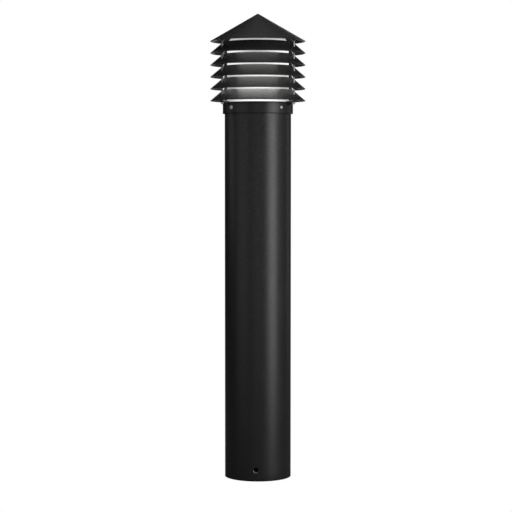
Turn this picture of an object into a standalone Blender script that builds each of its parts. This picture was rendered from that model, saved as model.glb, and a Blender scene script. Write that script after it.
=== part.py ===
"""Louvred bollard light: a round post on an anchor casting, and a lift-off lamp head.

All sizes are in metres, +Z up. The origin is at the centre of the foot, on the ground.
An azimuth is counted from the front (-Y), positive towards +X.
"""
import math

import bmesh
import bpy
from mathutils import Matrix, Vector

# ---- Driving dimensions -------------------------------------------------------------
HEIGHT = 1.0668              # ground to the point of the cap (42 in)
FIT_GAP = 0.0003             # gap between pieces that touch
ROUND_STEPS = 40             # facets round the big turned pieces
SMALL_STEPS = 12             # facets round screws, rods and spacers
PAST = 0.0040                # how far a cutting shape runs past the face it enters
SINK = 0.0010                # how far a joined shape runs into its neighbour

POST_RADIUS = 0.0762         # 6 in tube
POST_WALL = 0.0032
POST_TOP = 0.8570

ANCHOR_RADIUS = 0.0720
ANCHOR_SKIRT = 0.0060        # wall of the skirt inside the post
ANCHOR_HEIGHT = 0.0620
ANCHOR_FLOOR = 0.0100
CABLE_ENTRY_RADIUS = 0.0380
SLOT_CIRCLE_RADIUS = 0.0510  # anchor bolts' circle
SLOT_WIDTH = 0.0130
SLOT_HALF_ANGLE = math.radians(14)
BASE_SCREW_Z = 0.0262
BASE_SCREW_COUNT = 3
BASE_SCREW_RADIUS = 0.0050   # M10
BASE_SCREW_INNER = 0.0580
BASE_SCREW_OUTER = 0.0746
BASE_SOCKET = (0.0050, 0.0050)  # across flats, depth
BASE_BOSS_RADIUS = 0.0110
BASE_BOSS_INNER = 0.0560
POST_HOLE_RADIUS = 0.00565

COLLAR_RADIUS = 0.0806
COLLAR_BORE = 0.0767
COLLAR_BOTTOM = 0.8375
COLLAR_TOP = 0.8639
COLLAR_CHAMFER = 0.0008
PLATE_BOTTOM = POST_TOP + FIT_GAP
COLLAR_SCREW_Z = 0.8506
COLLAR_SCREW_COUNT = 4
COLLAR_SCREW_RADIUS = 0.0040  # M8
COLLAR_SCREW_OUTER = 0.0812
COLLAR_SOCKET = (0.0040, 0.0025)
SPOT_FACE_RADIUS = 0.0054
SPOT_FACE_DEPTH = 0.0012

RIM_RADIUS = 0.1090          # cap and louvres
RIM_EDGE = 0.0010            # upright edge below the cone's corner
CAP_RIM_Z = 1.0036
CAP_WALL = 0.0030
LOUVRE_COUNT = 5
LOUVRE_PITCH = 0.0272
LOUVRE_RISE = 0.0248         # corner of the rim to the inner top edge
LOUVRE_SLOPE = 0.852         # rise over run
LOUVRE_WALL = 0.0025

STACK_TURN = math.radians(4)  # the louvre stack sits turned a little on the post
ROD_COUNT = 3
ROD_CIRCLE = 0.0930
ROD_RADIUS = 0.0020          # M4
ROD_END_DROP = 0.0052        # below the ear
SPACER_RADIUS = 0.003175
SPACER_BORE = 0.0023
BOSS_RADIUS = 0.0052
BOSS_DROP = 0.0008           # boss face below the cone's corner
SEAT_RISE = 0.0104           # spacer's seat above the cone's corner
CAP_THREAD_TOP = 1.0102
EAR_RADIUS = 0.0058
EAR_BOTTOM = 0.8625
EAR_INNER = 0.0770
GUSSET_REACH = 0.0080        # out from the collar; the underside slopes at 45 degrees
GUSSET_WIDTH = 0.0080
NUT_RADIUS = 0.00404         # M4, across corners / 2
NUT_HEIGHT = 0.0032

LENS_RADIUS = 0.0706
LENS_WALL = 0.0032
LENS_SHOULDER = 0.0250
LENS_TOP = 1.0150
GROOVE_INNER = 0.0666
GROOVE_OUTER = 0.0714
GROOVE_FLOOR = 0.8598
GASKET_THICKNESS = 0.0016
CROWN_GASKET_THICKNESS = 0.0020
CROWN_RIB_INNER = 0.0260
CROWN_RIB_OUTER = 0.0295
CROWN_GASKET_OVERLAP = 0.0020
REFLECTOR_RADIUS = 0.0420
REFLECTOR_TIP = 0.9550
REFLECTOR_WALL = 0.0012

BOARD_RADIUS = 0.0575
BOARD_THICKNESS = 0.0016
BOARD_RECESS_FLOOR = 0.8615
BOARD_RECESS_RADIUS = 0.0585
LED_COUNT = 6
LED_CIRCLE = 0.0200
LED_RADIUS = 0.0030
LED_HEIGHT = 0.0029
LED_BASE_HEIGHT = 0.0010
LED_DOME_RADIUS = 0.0024
BOARD_SCREW_CIRCLE = 0.0480
BOARD_SCREW_TIP = 0.8590     # height of the point of a board screw
BOARD_SCREW_BORE = 0.0017
BOARD_SCREW_HOLE = 0.0018    # through the board

TRAY_BOSS_X = 0.0280
TRAY_BOSS_Y = -0.0150
TRAY_BOSS_RADIUS = 0.0060
TRAY_BOSS_BOTTOM = 0.8499
TRAY_BOSS_BORE = 0.0021
TRAY_BORE_TOP = 0.8583
TRAY_FOOT_HOLE = 0.0022
TRAY_SHEET = 0.0020
TRAY_HALF_WIDTH = 0.0400
TRAY_BACK_Y = 0.0100         # front face of the upright sheet
TRAY_FRONT_Y = -0.0300
TRAY_BOTTOM = 0.5600
WIRE_HOLE_RADIUS = 0.0070
DRIVER_SIZE = Vector((0.060, 0.028, 0.130))
DRIVER_BOTTOM = 0.6900
DRIVER_TAB = Vector((0.030, 0.002, 0.010))
SHEET_SCREW_HOLE = 0.0018
TERMINAL_SIZE = Vector((0.050, 0.018, 0.030))
TERMINAL_BOTTOM = 0.6100
TERMINAL_PORT = (0.0019, 0.0100)  # radius, depth
TERMINAL_PORT_PITCH = 0.0150
GROUND_SCREW_Z = 0.5800

# Pan-head screws: head radius, head height, shank radius, length below the head
BOARD_SCREW = (0.0028, 0.0018, 0.0014, 0.0047)
TRAY_SCREW = (0.0038, 0.0024, 0.0018, 0.0090)
DRIVER_SCREW = (0.0030, 0.0020, 0.0015, 0.0070)
GROUND_SCREW = (0.0042, 0.0030, 0.0015, 0.0070)

LEAD_RADIUS = 0.0030
LEAD_POINTS = 12
LAMP_LEAD_RISE = 0.0180      # how far a lead runs straight before it bends
LAMP_LEAD_BEND = 0.0220
DRIVER_LEAD_RUN = 0.0250
DRIVER_LEAD_X = 0.0120


def toward(azimuth, radius, z=0.0):
    """Point at an azimuth from the front, a radius and a height."""
    return Vector((radius * math.sin(azimuth), -radius * math.cos(azimuth), z))


def spread(count, first=0.0):
    """Azimuths of pieces spaced evenly round the axis."""
    return [first + 2 * math.pi * i / count for i in range(count)]


ROD_AZIMUTHS = spread(ROD_COUNT, STACK_TURN + math.pi / 3)
BASE_SCREW_AZIMUTHS = spread(BASE_SCREW_COUNT)
COLLAR_SCREW_AZIMUTHS = spread(COLLAR_SCREW_COUNT, -math.pi / 4)
LOUVRE_RIMS = [CAP_RIM_Z - LOUVRE_PITCH * (k + 1) for k in range(LOUVRE_COUNT)]
CAP_SLOPE = (HEIGHT - CAP_RIM_Z) / RIM_RADIUS
EAR_TOP = LOUVRE_RIMS[-1] - BOSS_DROP - FIT_GAP
PLATE_FACE = BOARD_RECESS_FLOOR + FIT_GAP
BOARD_TOP = PLATE_FACE + BOARD_THICKNESS


# ---- Materials ----------------------------------------------------------------------
def make_material(name, colour, roughness, metallic):
    material = bpy.data.materials.new(name)
    material.use_nodes = True
    shader = material.node_tree.nodes["Principled BSDF"]
    shader.inputs["Base Color"].default_value = (*colour, 1.0)
    shader.inputs["Roughness"].default_value = roughness
    shader.inputs["Metallic"].default_value = metallic
    return material


# ---- Shapes -------------------------------------------------------------------------
def turned(profile, steps=ROUND_STEPS):
    """Spin a closed outline of (radius, z) points about the Z axis."""
    bm = bmesh.new()
    verts = [bm.verts.new((radius, 0.0, z)) for radius, z in profile]
    loop = [edge for edge in zip(verts, verts[1:] + verts[:1])
            if not edge[0].co.x == edge[1].co.x == 0.0]
    edges = [bm.edges.new(pair) for pair in loop]
    bmesh.ops.spin(bm, geom=verts + edges, axis=(0, 0, 1), cent=(0, 0, 0),
                   angle=2 * math.pi, steps=steps, use_merge=True)
    bmesh.ops.remove_doubles(bm, verts=bm.verts, dist=1e-6)
    bmesh.ops.recalc_face_normals(bm, faces=bm.faces)
    return bm


def rod_shape(start, end, radius, steps=SMALL_STEPS, bm=None):
    """Add a round bar, or with six steps a hexagon, from one point to another."""
    bm = bm or bmesh.new()
    start, end = Vector(start), Vector(end)
    along = end - start
    place = Matrix.Translation((start + end) / 2) @ along.to_track_quat("Z", "Y").to_matrix().to_4x4()
    bmesh.ops.create_cone(bm, cap_ends=True, segments=steps, radius1=radius, radius2=radius,
                          depth=along.length, matrix=place)
    return bm


def block(low, high, bm=None):
    """Add a square-edged block between two corners."""
    bm = bm or bmesh.new()
    low, high = Vector(low), Vector(high)
    place = Matrix.Translation((low + high) / 2) @ Matrix.Diagonal((*(high - low), 1.0))
    bmesh.ops.create_cube(bm, size=1.0, matrix=place)
    return bm


def extruded(outline, travel, bm=None):
    """Add a prism: a flat outline of 3-D points swept along a vector."""
    bm = bm or bmesh.new()
    face = bm.faces.new([bm.verts.new(point) for point in outline])
    swept = bmesh.ops.extrude_face_region(bm, geom=[face])
    moved = [item for item in swept["geom"] if isinstance(item, bmesh.types.BMVert)]
    bmesh.ops.translate(bm, verts=moved, vec=travel)
    bmesh.ops.recalc_face_normals(bm, faces=bm.faces)
    return bm


def boss_shape(surface, bottom, bm):
    """Add one boss per tie rod, whose upper end follows a cone's mid-surface z = surface(r)."""
    for azimuth in ROD_AZIMUTHS:
        centre = toward(azimuth, ROD_CIRCLE, bottom)
        ends = bmesh.ops.create_cone(bm, cap_ends=True, cap_tris=True, segments=SMALL_STEPS,
                                     radius1=BOSS_RADIUS, radius2=BOSS_RADIUS, depth=2 * BOSS_RADIUS,
                                     matrix=Matrix.Translation(centre))
        for vert in ends["verts"]:
            if vert.co.z < bottom:
                vert.co.z = bottom
            else:
                vert.co.z = surface(math.hypot(vert.co.x, vert.co.y))
    return bm


def to_mesh(name, bm):
    mesh = bpy.data.meshes.new(name)
    bm.to_mesh(mesh)
    bm.free()
    return mesh


def combined(name, base, steps):
    """Mesh of a base shape after a list of (Boolean operation, tool shape) steps."""
    body = bpy.data.objects.new(name, to_mesh(name, base))
    bpy.context.scene.collection.objects.link(body)
    tools = []
    for operation, shape in steps:
        tool = bpy.data.objects.new(name + "_tool", to_mesh(name + "_tool", shape))
        bpy.context.scene.collection.objects.link(tool)
        modifier = body.modifiers.new(operation.lower(), "BOOLEAN")
        modifier.operation = operation
        modifier.solver = "EXACT"
        modifier.object = tool
        tools.append(tool)
    bpy.context.view_layer.update()
    finished = body.evaluated_get(bpy.context.evaluated_depsgraph_get())
    mesh = bpy.data.meshes.new_from_object(finished)
    mesh.name = name
    for helper in [body] + tools:
        data = helper.data
        bpy.data.objects.remove(helper)
        bpy.data.meshes.remove(data)
    return mesh


def place(name, shape, material, parent=None, location=(0, 0, 0)):
    """Make the named object of a sub-part from a bmesh or a mesh."""
    mesh = shape if isinstance(shape, bpy.types.Mesh) else to_mesh(name, shape)
    if not mesh.materials:
        mesh.materials.append(material)
    mesh.shade_smooth()
    mesh.set_sharp_from_angle(angle=math.radians(32))
    piece = bpy.data.objects.new(name, mesh)
    bpy.context.scene.collection.objects.link(piece)
    piece.location = location
    piece.parent = parent
    return piece


def socket_screw(radius, inner, outer, azimuth, z, socket):
    """Set screw lying on a radius, with a hexagon socket (across flats, depth) in its outer face."""
    across_flats, depth = socket
    bar = rod_shape(toward(azimuth, inner, z), toward(azimuth, outer, z), radius)
    key = rod_shape(toward(azimuth, outer - depth, z), toward(azimuth, outer + depth, z),
                    across_flats / math.sqrt(3), steps=6)
    return bar, key


def place_pan_screw(name, sizes, start, axis, material, parent):
    """Screw whose head stands on start, away from axis, and whose shank runs along axis."""
    head_radius, head_height, shank_radius, shank_length = sizes
    start, axis = Vector(start), Vector(axis)
    head = rod_shape(start, start - axis * head_height, head_radius)
    shank = rod_shape(start - axis * head_height / 2, start + axis * shank_length, shank_radius)
    place(name, combined(name, head, [("UNION", shank)]), material, parent)


def smooth_route(points, count=LEAD_POINTS):
    """Points read from a cubic Bezier whose four control points are given."""
    a, b, c, d = (Vector(point) for point in points)
    route = []
    for i in range(count):
        t = i / (count - 1)
        s = 1 - t
        route.append(a * s ** 3 + b * 3 * s * s * t + c * 3 * s * t * t + d * t ** 3)
    return route


# ---- Post and anchor ----------------------------------------------------------------
def build_post(paint, casting, dark_steel):
    tube = turned([(POST_RADIUS - POST_WALL, 0.0), (POST_RADIUS, 0.0),
                   (POST_RADIUS, POST_TOP), (POST_RADIUS - POST_WALL, POST_TOP)])
    holes = bmesh.new()
    for azimuth in BASE_SCREW_AZIMUTHS:
        rod_shape(toward(azimuth, ANCHOR_RADIUS, BASE_SCREW_Z),
                  toward(azimuth, POST_RADIUS + PAST, BASE_SCREW_Z), POST_HOLE_RADIUS, bm=holes)
    place("post_tube", combined("post_tube", tube, [("DIFFERENCE", holes)]), paint)

    skirt_inner = ANCHOR_RADIUS - ANCHOR_SKIRT
    casting_shape = turned([(CABLE_ENTRY_RADIUS, 0.0), (ANCHOR_RADIUS, 0.0),
                            (ANCHOR_RADIUS, ANCHOR_HEIGHT), (skirt_inner, ANCHOR_HEIGHT),
                            (skirt_inner, ANCHOR_FLOOR), (CABLE_ENTRY_RADIUS, ANCHOR_FLOOR)])
    bosses, bores = bmesh.new(), bmesh.new()
    for azimuth in BASE_SCREW_AZIMUTHS:
        rod_shape(toward(azimuth, BASE_BOSS_INNER, BASE_SCREW_Z),
                  toward(azimuth, ANCHOR_RADIUS - ANCHOR_SKIRT / 2, BASE_SCREW_Z),
                  BASE_BOSS_RADIUS, bm=bosses)
        rod_shape(toward(azimuth, BASE_BOSS_INNER - PAST, BASE_SCREW_Z),
                  toward(azimuth, ANCHOR_RADIUS + PAST, BASE_SCREW_Z),
                  BASE_SCREW_RADIUS + FIT_GAP, bm=bores)
    slots = bmesh.new()
    for azimuth in spread(BASE_SCREW_COUNT, math.pi / 3):
        sweep = [azimuth + SLOT_HALF_ANGLE * (i / 4 - 1) for i in range(9)]
        outer = [toward(a, SLOT_CIRCLE_RADIUS + SLOT_WIDTH / 2, -PAST) for a in sweep]
        inner = [toward(a, SLOT_CIRCLE_RADIUS - SLOT_WIDTH / 2, -PAST) for a in reversed(sweep)]
        extruded(outer + inner, (0, 0, ANCHOR_FLOOR + 2 * PAST), slots)
    place("anchor_base", combined("anchor_base", casting_shape, [
        ("UNION", bosses), ("DIFFERENCE", bores), ("DIFFERENCE", slots)]), casting)

    for number, azimuth in enumerate(BASE_SCREW_AZIMUTHS, 1):
        bar, key = socket_screw(BASE_SCREW_RADIUS, BASE_SCREW_INNER, BASE_SCREW_OUTER, azimuth,
                                BASE_SCREW_Z, BASE_SOCKET)
        name = f"base_screw_{number}"
        place(name, combined(name, bar, [("DIFFERENCE", key)]), dark_steel)


# ---- Fitter: the collar that sits on the post ----------------------------------------
def ear_outline(azimuth, z):
    """Bar with a round end about the tie rod's axis, as seen from above."""
    arc = [azimuth + math.pi / 2 - math.pi * i / 8 for i in range(9)]
    centre = toward(azimuth, ROD_CIRCLE, z)
    side = toward(azimuth + math.pi / 2, EAR_RADIUS)
    inner = toward(azimuth, EAR_INNER, z)
    return [inner + side] + [centre + toward(a, EAR_RADIUS) for a in arc] + [inner - side]


def build_fitter(head, paint, steel):
    chamfer = COLLAR_CHAMFER
    collar = turned([
        (COLLAR_BORE, COLLAR_BOTTOM), (COLLAR_RADIUS - chamfer, COLLAR_BOTTOM),
        (COLLAR_RADIUS, COLLAR_BOTTOM + chamfer), (COLLAR_RADIUS, COLLAR_TOP - chamfer),
        (COLLAR_RADIUS - chamfer, COLLAR_TOP), (GROOVE_OUTER, COLLAR_TOP), (GROOVE_OUTER, GROOVE_FLOOR),
        (GROOVE_INNER, GROOVE_FLOOR), (GROOVE_INNER, COLLAR_TOP), (BOARD_RECESS_RADIUS, COLLAR_TOP),
        (BOARD_RECESS_RADIUS, BOARD_RECESS_FLOOR), (WIRE_HOLE_RADIUS, BOARD_RECESS_FLOOR),
        (WIRE_HOLE_RADIUS, PLATE_BOTTOM), (COLLAR_BORE, PLATE_BOTTOM)])
    ears, gussets, rod_holes = bmesh.new(), bmesh.new(), bmesh.new()
    for azimuth in ROD_AZIMUTHS:
        extruded(ear_outline(azimuth, EAR_BOTTOM), (0, 0, EAR_TOP - EAR_BOTTOM), ears)
        side = toward(azimuth + math.pi / 2, GUSSET_WIDTH / 2)
        wall, tip = COLLAR_RADIUS - 2 * SINK, COLLAR_RADIUS + GUSSET_REACH
        corners = [toward(azimuth, wall, EAR_BOTTOM + SINK), toward(azimuth, tip, EAR_BOTTOM + SINK),
                   toward(azimuth, tip, EAR_BOTTOM), toward(azimuth, wall, EAR_BOTTOM - (tip - wall))]
        extruded([corner - side for corner in corners], 2 * side, gussets)
        rod_shape(toward(azimuth, ROD_CIRCLE, EAR_BOTTOM - PAST),
                  toward(azimuth, ROD_CIRCLE, EAR_TOP + PAST), ROD_RADIUS + FIT_GAP, bm=rod_holes)
    screw_holes, spot_faces = bmesh.new(), bmesh.new()
    for azimuth in COLLAR_SCREW_AZIMUTHS:
        rod_shape(toward(azimuth, COLLAR_BORE - PAST, COLLAR_SCREW_Z),
                  toward(azimuth, COLLAR_RADIUS + PAST, COLLAR_SCREW_Z),
                  COLLAR_SCREW_RADIUS + FIT_GAP, bm=screw_holes)
        rod_shape(toward(azimuth, COLLAR_RADIUS - SPOT_FACE_DEPTH, COLLAR_SCREW_Z),
                  toward(azimuth, COLLAR_RADIUS + PAST, COLLAR_SCREW_Z), SPOT_FACE_RADIUS, bm=spot_faces)
    tray_bosses, tray_bores = bmesh.new(), bmesh.new()
    for side in (-1, 1):
        boss_x, board_x = side * TRAY_BOSS_X, side * BOARD_SCREW_CIRCLE
        rod_shape((boss_x, TRAY_BOSS_Y, TRAY_BOSS_BOTTOM), (boss_x, TRAY_BOSS_Y, PLATE_BOTTOM + SINK),
                  TRAY_BOSS_RADIUS, bm=tray_bosses)
        rod_shape((boss_x, TRAY_BOSS_Y, TRAY_BOSS_BOTTOM - PAST), (boss_x, TRAY_BOSS_Y, TRAY_BORE_TOP),
                  TRAY_BOSS_BORE, bm=tray_bores)
        rod_shape((board_x, 0, BOARD_SCREW_TIP - FIT_GAP), (board_x, 0, BOARD_RECESS_FLOOR + PAST),
                  BOARD_SCREW_BORE, bm=tray_bores)
    place("fitter_collar", combined("fitter_collar", collar, [
        ("UNION", ears), ("UNION", gussets), ("UNION", tray_bosses), ("DIFFERENCE", rod_holes),
        ("DIFFERENCE", screw_holes), ("DIFFERENCE", spot_faces), ("DIFFERENCE", tray_bores)]), paint, head)

    for number, azimuth in enumerate(COLLAR_SCREW_AZIMUTHS, 1):
        axis = bpy.data.objects.new(f"collar_screw_axis_{number}", None)
        bpy.context.scene.collection.objects.link(axis)
        axis.location = toward(azimuth, COLLAR_SCREW_OUTER, COLLAR_SCREW_Z)
        axis.parent = head
        bar, key = socket_screw(COLLAR_SCREW_RADIUS, POST_RADIUS + FIT_GAP, COLLAR_SCREW_OUTER, azimuth,
                                COLLAR_SCREW_Z, COLLAR_SOCKET)
        name = f"collar_screw_{number}"
        place(name, combined(name, bar, [("DIFFERENCE", key)]), steel, axis, -axis.location)


# ---- Louvre stack and cap ------------------------------------------------------------
def build_stack(head, paint, steel):
    run = LOUVRE_RISE / LOUVRE_SLOPE
    upright = LOUVRE_WALL * math.hypot(1, LOUVRE_SLOPE)
    inner_bottom = RIM_RADIUS - (upright - RIM_EDGE) / LOUVRE_SLOPE
    inner_top = RIM_RADIUS - run - upright / LOUVRE_SLOPE
    ring = turned([(inner_bottom, -RIM_EDGE), (RIM_RADIUS, -RIM_EDGE), (RIM_RADIUS, 0.0),
                   (RIM_RADIUS - run, LOUVRE_RISE), (inner_top, LOUVRE_RISE)])

    def middle(radius):
        return (RIM_RADIUS - radius) * LOUVRE_SLOPE - upright / 2

    seats, holes = bmesh.new(), bmesh.new()
    for azimuth in ROD_AZIMUTHS:
        rod_shape(toward(azimuth, ROD_CIRCLE, SEAT_RISE), toward(azimuth, ROD_CIRCLE, LOUVRE_RISE),
                  SPACER_RADIUS + FIT_GAP, bm=seats)
        rod_shape(toward(azimuth, ROD_CIRCLE, -PAST), toward(azimuth, ROD_CIRCLE, LOUVRE_RISE),
                  ROD_RADIUS + FIT_GAP, bm=holes)
    louvre = combined("louvre", ring, [("UNION", boss_shape(middle, -BOSS_DROP, bmesh.new())),
                                       ("DIFFERENCE", seats), ("DIFFERENCE", holes)])
    for number, rim in enumerate(LOUVRE_RIMS, 1):
        place(f"louvre_{number}", louvre, paint, head, (0, 0, rim))

    build_cap(head, paint)

    length = LOUVRE_PITCH - BOSS_DROP - SEAT_RISE - 2 * FIT_GAP
    sleeve = to_mesh("spacer", turned([(SPACER_BORE, 0.0), (SPACER_RADIUS, 0.0),
                                       (SPACER_RADIUS, length), (SPACER_BORE, length)], SMALL_STEPS))
    nut_top = EAR_BOTTOM - FIT_GAP
    for rod, azimuth in enumerate(ROD_AZIMUTHS, 1):
        bar = rod_shape(toward(azimuth, ROD_CIRCLE, EAR_BOTTOM - ROD_END_DROP),
                        toward(azimuth, ROD_CIRCLE, CAP_THREAD_TOP - FIT_GAP), ROD_RADIUS)
        place(f"tie_rod_{rod}", bar, steel, head)
        nut = rod_shape(toward(azimuth, ROD_CIRCLE, nut_top - NUT_HEIGHT),
                        toward(azimuth, ROD_CIRCLE, nut_top), NUT_RADIUS, steps=6)
        bore = rod_shape(toward(azimuth, ROD_CIRCLE, nut_top - NUT_HEIGHT - PAST),
                         toward(azimuth, ROD_CIRCLE, nut_top + PAST), ROD_RADIUS + FIT_GAP)
        name = f"tie_rod_nut_{rod}"
        place(name, combined(name, nut, [("DIFFERENCE", bore)]), steel, head)
        for gap, rim in enumerate(LOUVRE_RIMS, 1):
            place(f"spacer_{rod}_{gap}", sleeve, steel, head,
                  toward(azimuth, ROD_CIRCLE, rim + SEAT_RISE + FIT_GAP))


def build_cap(head, paint):
    """Cone with an upright rim edge, a rib that holds the lens down, and the rods' bosses."""
    upright = CAP_WALL * math.hypot(1, CAP_SLOPE)
    inner_bottom = RIM_RADIUS - (upright - RIM_EDGE) / CAP_SLOPE
    rib_foot = LENS_TOP + CROWN_GASKET_THICKNESS + 2 * FIT_GAP

    def inside(radius):
        return HEIGHT - CAP_SLOPE * radius - upright

    cone = turned([(0.0, HEIGHT), (RIM_RADIUS, CAP_RIM_Z), (RIM_RADIUS, CAP_RIM_Z - RIM_EDGE),
                   (inner_bottom, CAP_RIM_Z - RIM_EDGE), (CROWN_RIB_OUTER, inside(CROWN_RIB_OUTER)),
                   (CROWN_RIB_OUTER, rib_foot), (CROWN_RIB_INNER, rib_foot),
                   (CROWN_RIB_INNER, inside(CROWN_RIB_INNER)), (0.0, inside(0.0))])
    threads = bmesh.new()
    for azimuth in ROD_AZIMUTHS:
        rod_shape(toward(azimuth, ROD_CIRCLE, CAP_RIM_Z - PAST),
                  toward(azimuth, ROD_CIRCLE, CAP_THREAD_TOP), ROD_RADIUS + FIT_GAP, bm=threads)
    bosses = boss_shape(lambda radius: inside(radius) + upright / 2, CAP_RIM_Z - BOSS_DROP, bmesh.new())
    place("cap", combined("cap", cone, [("UNION", bosses), ("DIFFERENCE", threads)]), paint, head)


# ---- Lens, seals and lamp ------------------------------------------------------------
def shoulder(radius, centre_radius, centre_z, steps=4):
    """Quarter round from the upright wall to the flat crown."""
    return [(centre_radius + radius * math.cos(math.pi / 2 * i / steps),
             centre_z + radius * math.sin(math.pi / 2 * i / steps)) for i in range(steps + 1)]


def build_lamp(head, frosted, rubber, board_white, led_yellow, white_paint, steel):
    gasket_bottom = GROOVE_FLOOR + FIT_GAP
    gasket_top = gasket_bottom + GASKET_THICKNESS
    place("lens_gasket", turned([
        (GROOVE_INNER + FIT_GAP, gasket_bottom), (GROOVE_OUTER - FIT_GAP, gasket_bottom),
        (GROOVE_OUTER - FIT_GAP, gasket_top), (GROOVE_INNER + FIT_GAP, gasket_top)]), rubber, head)

    foot = gasket_top + FIT_GAP
    bend_radius = LENS_RADIUS - LENS_SHOULDER
    bend_z = LENS_TOP - LENS_SHOULDER
    outside = [(LENS_RADIUS, foot)] + shoulder(LENS_SHOULDER, bend_radius, bend_z) + [(0.0, LENS_TOP)]
    inside = [(LENS_RADIUS - LENS_WALL, foot)] + shoulder(LENS_SHOULDER - LENS_WALL, bend_radius, bend_z)
    inside.append((0.0, LENS_TOP - LENS_WALL))
    place("lens", turned(outside + inside[::-1]), frosted, head)

    crown = LENS_TOP + FIT_GAP
    ring_inner, ring_outer = CROWN_RIB_INNER - CROWN_GASKET_OVERLAP, CROWN_RIB_OUTER + CROWN_GASKET_OVERLAP
    place("crown_gasket", turned([
        (ring_inner, crown), (ring_outer, crown), (ring_outer, crown + CROWN_GASKET_THICKNESS),
        (ring_inner, crown + CROWN_GASKET_THICKNESS)]), rubber, head)

    ceiling = LENS_TOP - LENS_WALL - FIT_GAP
    steepness = (ceiling - REFLECTOR_TIP) / REFLECTOR_RADIUS
    wall_run = REFLECTOR_WALL * math.hypot(1, steepness) / steepness
    place("top_reflector", turned([
        (0.0, REFLECTOR_TIP), (REFLECTOR_RADIUS, ceiling), (REFLECTOR_RADIUS - wall_run, ceiling),
        (0.0, REFLECTOR_TIP + wall_run * steepness)]), white_paint, head)

    disc = turned([(0.0, PLATE_FACE), (BOARD_RADIUS, PLATE_FACE),
                   (BOARD_RADIUS, BOARD_TOP), (0.0, BOARD_TOP)])
    screw_holes = bmesh.new()
    for x in (-BOARD_SCREW_CIRCLE, BOARD_SCREW_CIRCLE):
        rod_shape((x, 0, PLATE_FACE - PAST), (x, 0, BOARD_TOP + PAST), BOARD_SCREW_HOLE, bm=screw_holes)
    place("led_board", combined("led_board", disc, [("DIFFERENCE", screw_holes)]), board_white, head)
    for number, x in enumerate((-BOARD_SCREW_CIRCLE, BOARD_SCREW_CIRCLE), 1):
        place_pan_screw(f"board_screw_{number}", BOARD_SCREW, (x, 0, BOARD_TOP + FIT_GAP),
                        (0, 0, -1), steel, head)

    dome_height = LED_HEIGHT - LED_BASE_HEIGHT
    dome = [(LED_DOME_RADIUS * math.cos(math.pi / 8 * i),
             LED_BASE_HEIGHT + dome_height * math.sin(math.pi / 8 * i)) for i in range(4)]
    package = to_mesh("led", turned([(0.0, 0.0), (LED_RADIUS, 0.0), (LED_RADIUS, LED_BASE_HEIGHT)] + dome
                                    + [(0.0, LED_HEIGHT)], SMALL_STEPS))
    for number, azimuth in enumerate(spread(LED_COUNT, math.pi / 6), 1):
        place(f"led_{number}", package, led_yellow, head, toward(azimuth, LED_CIRCLE, BOARD_TOP + FIT_GAP))


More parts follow.
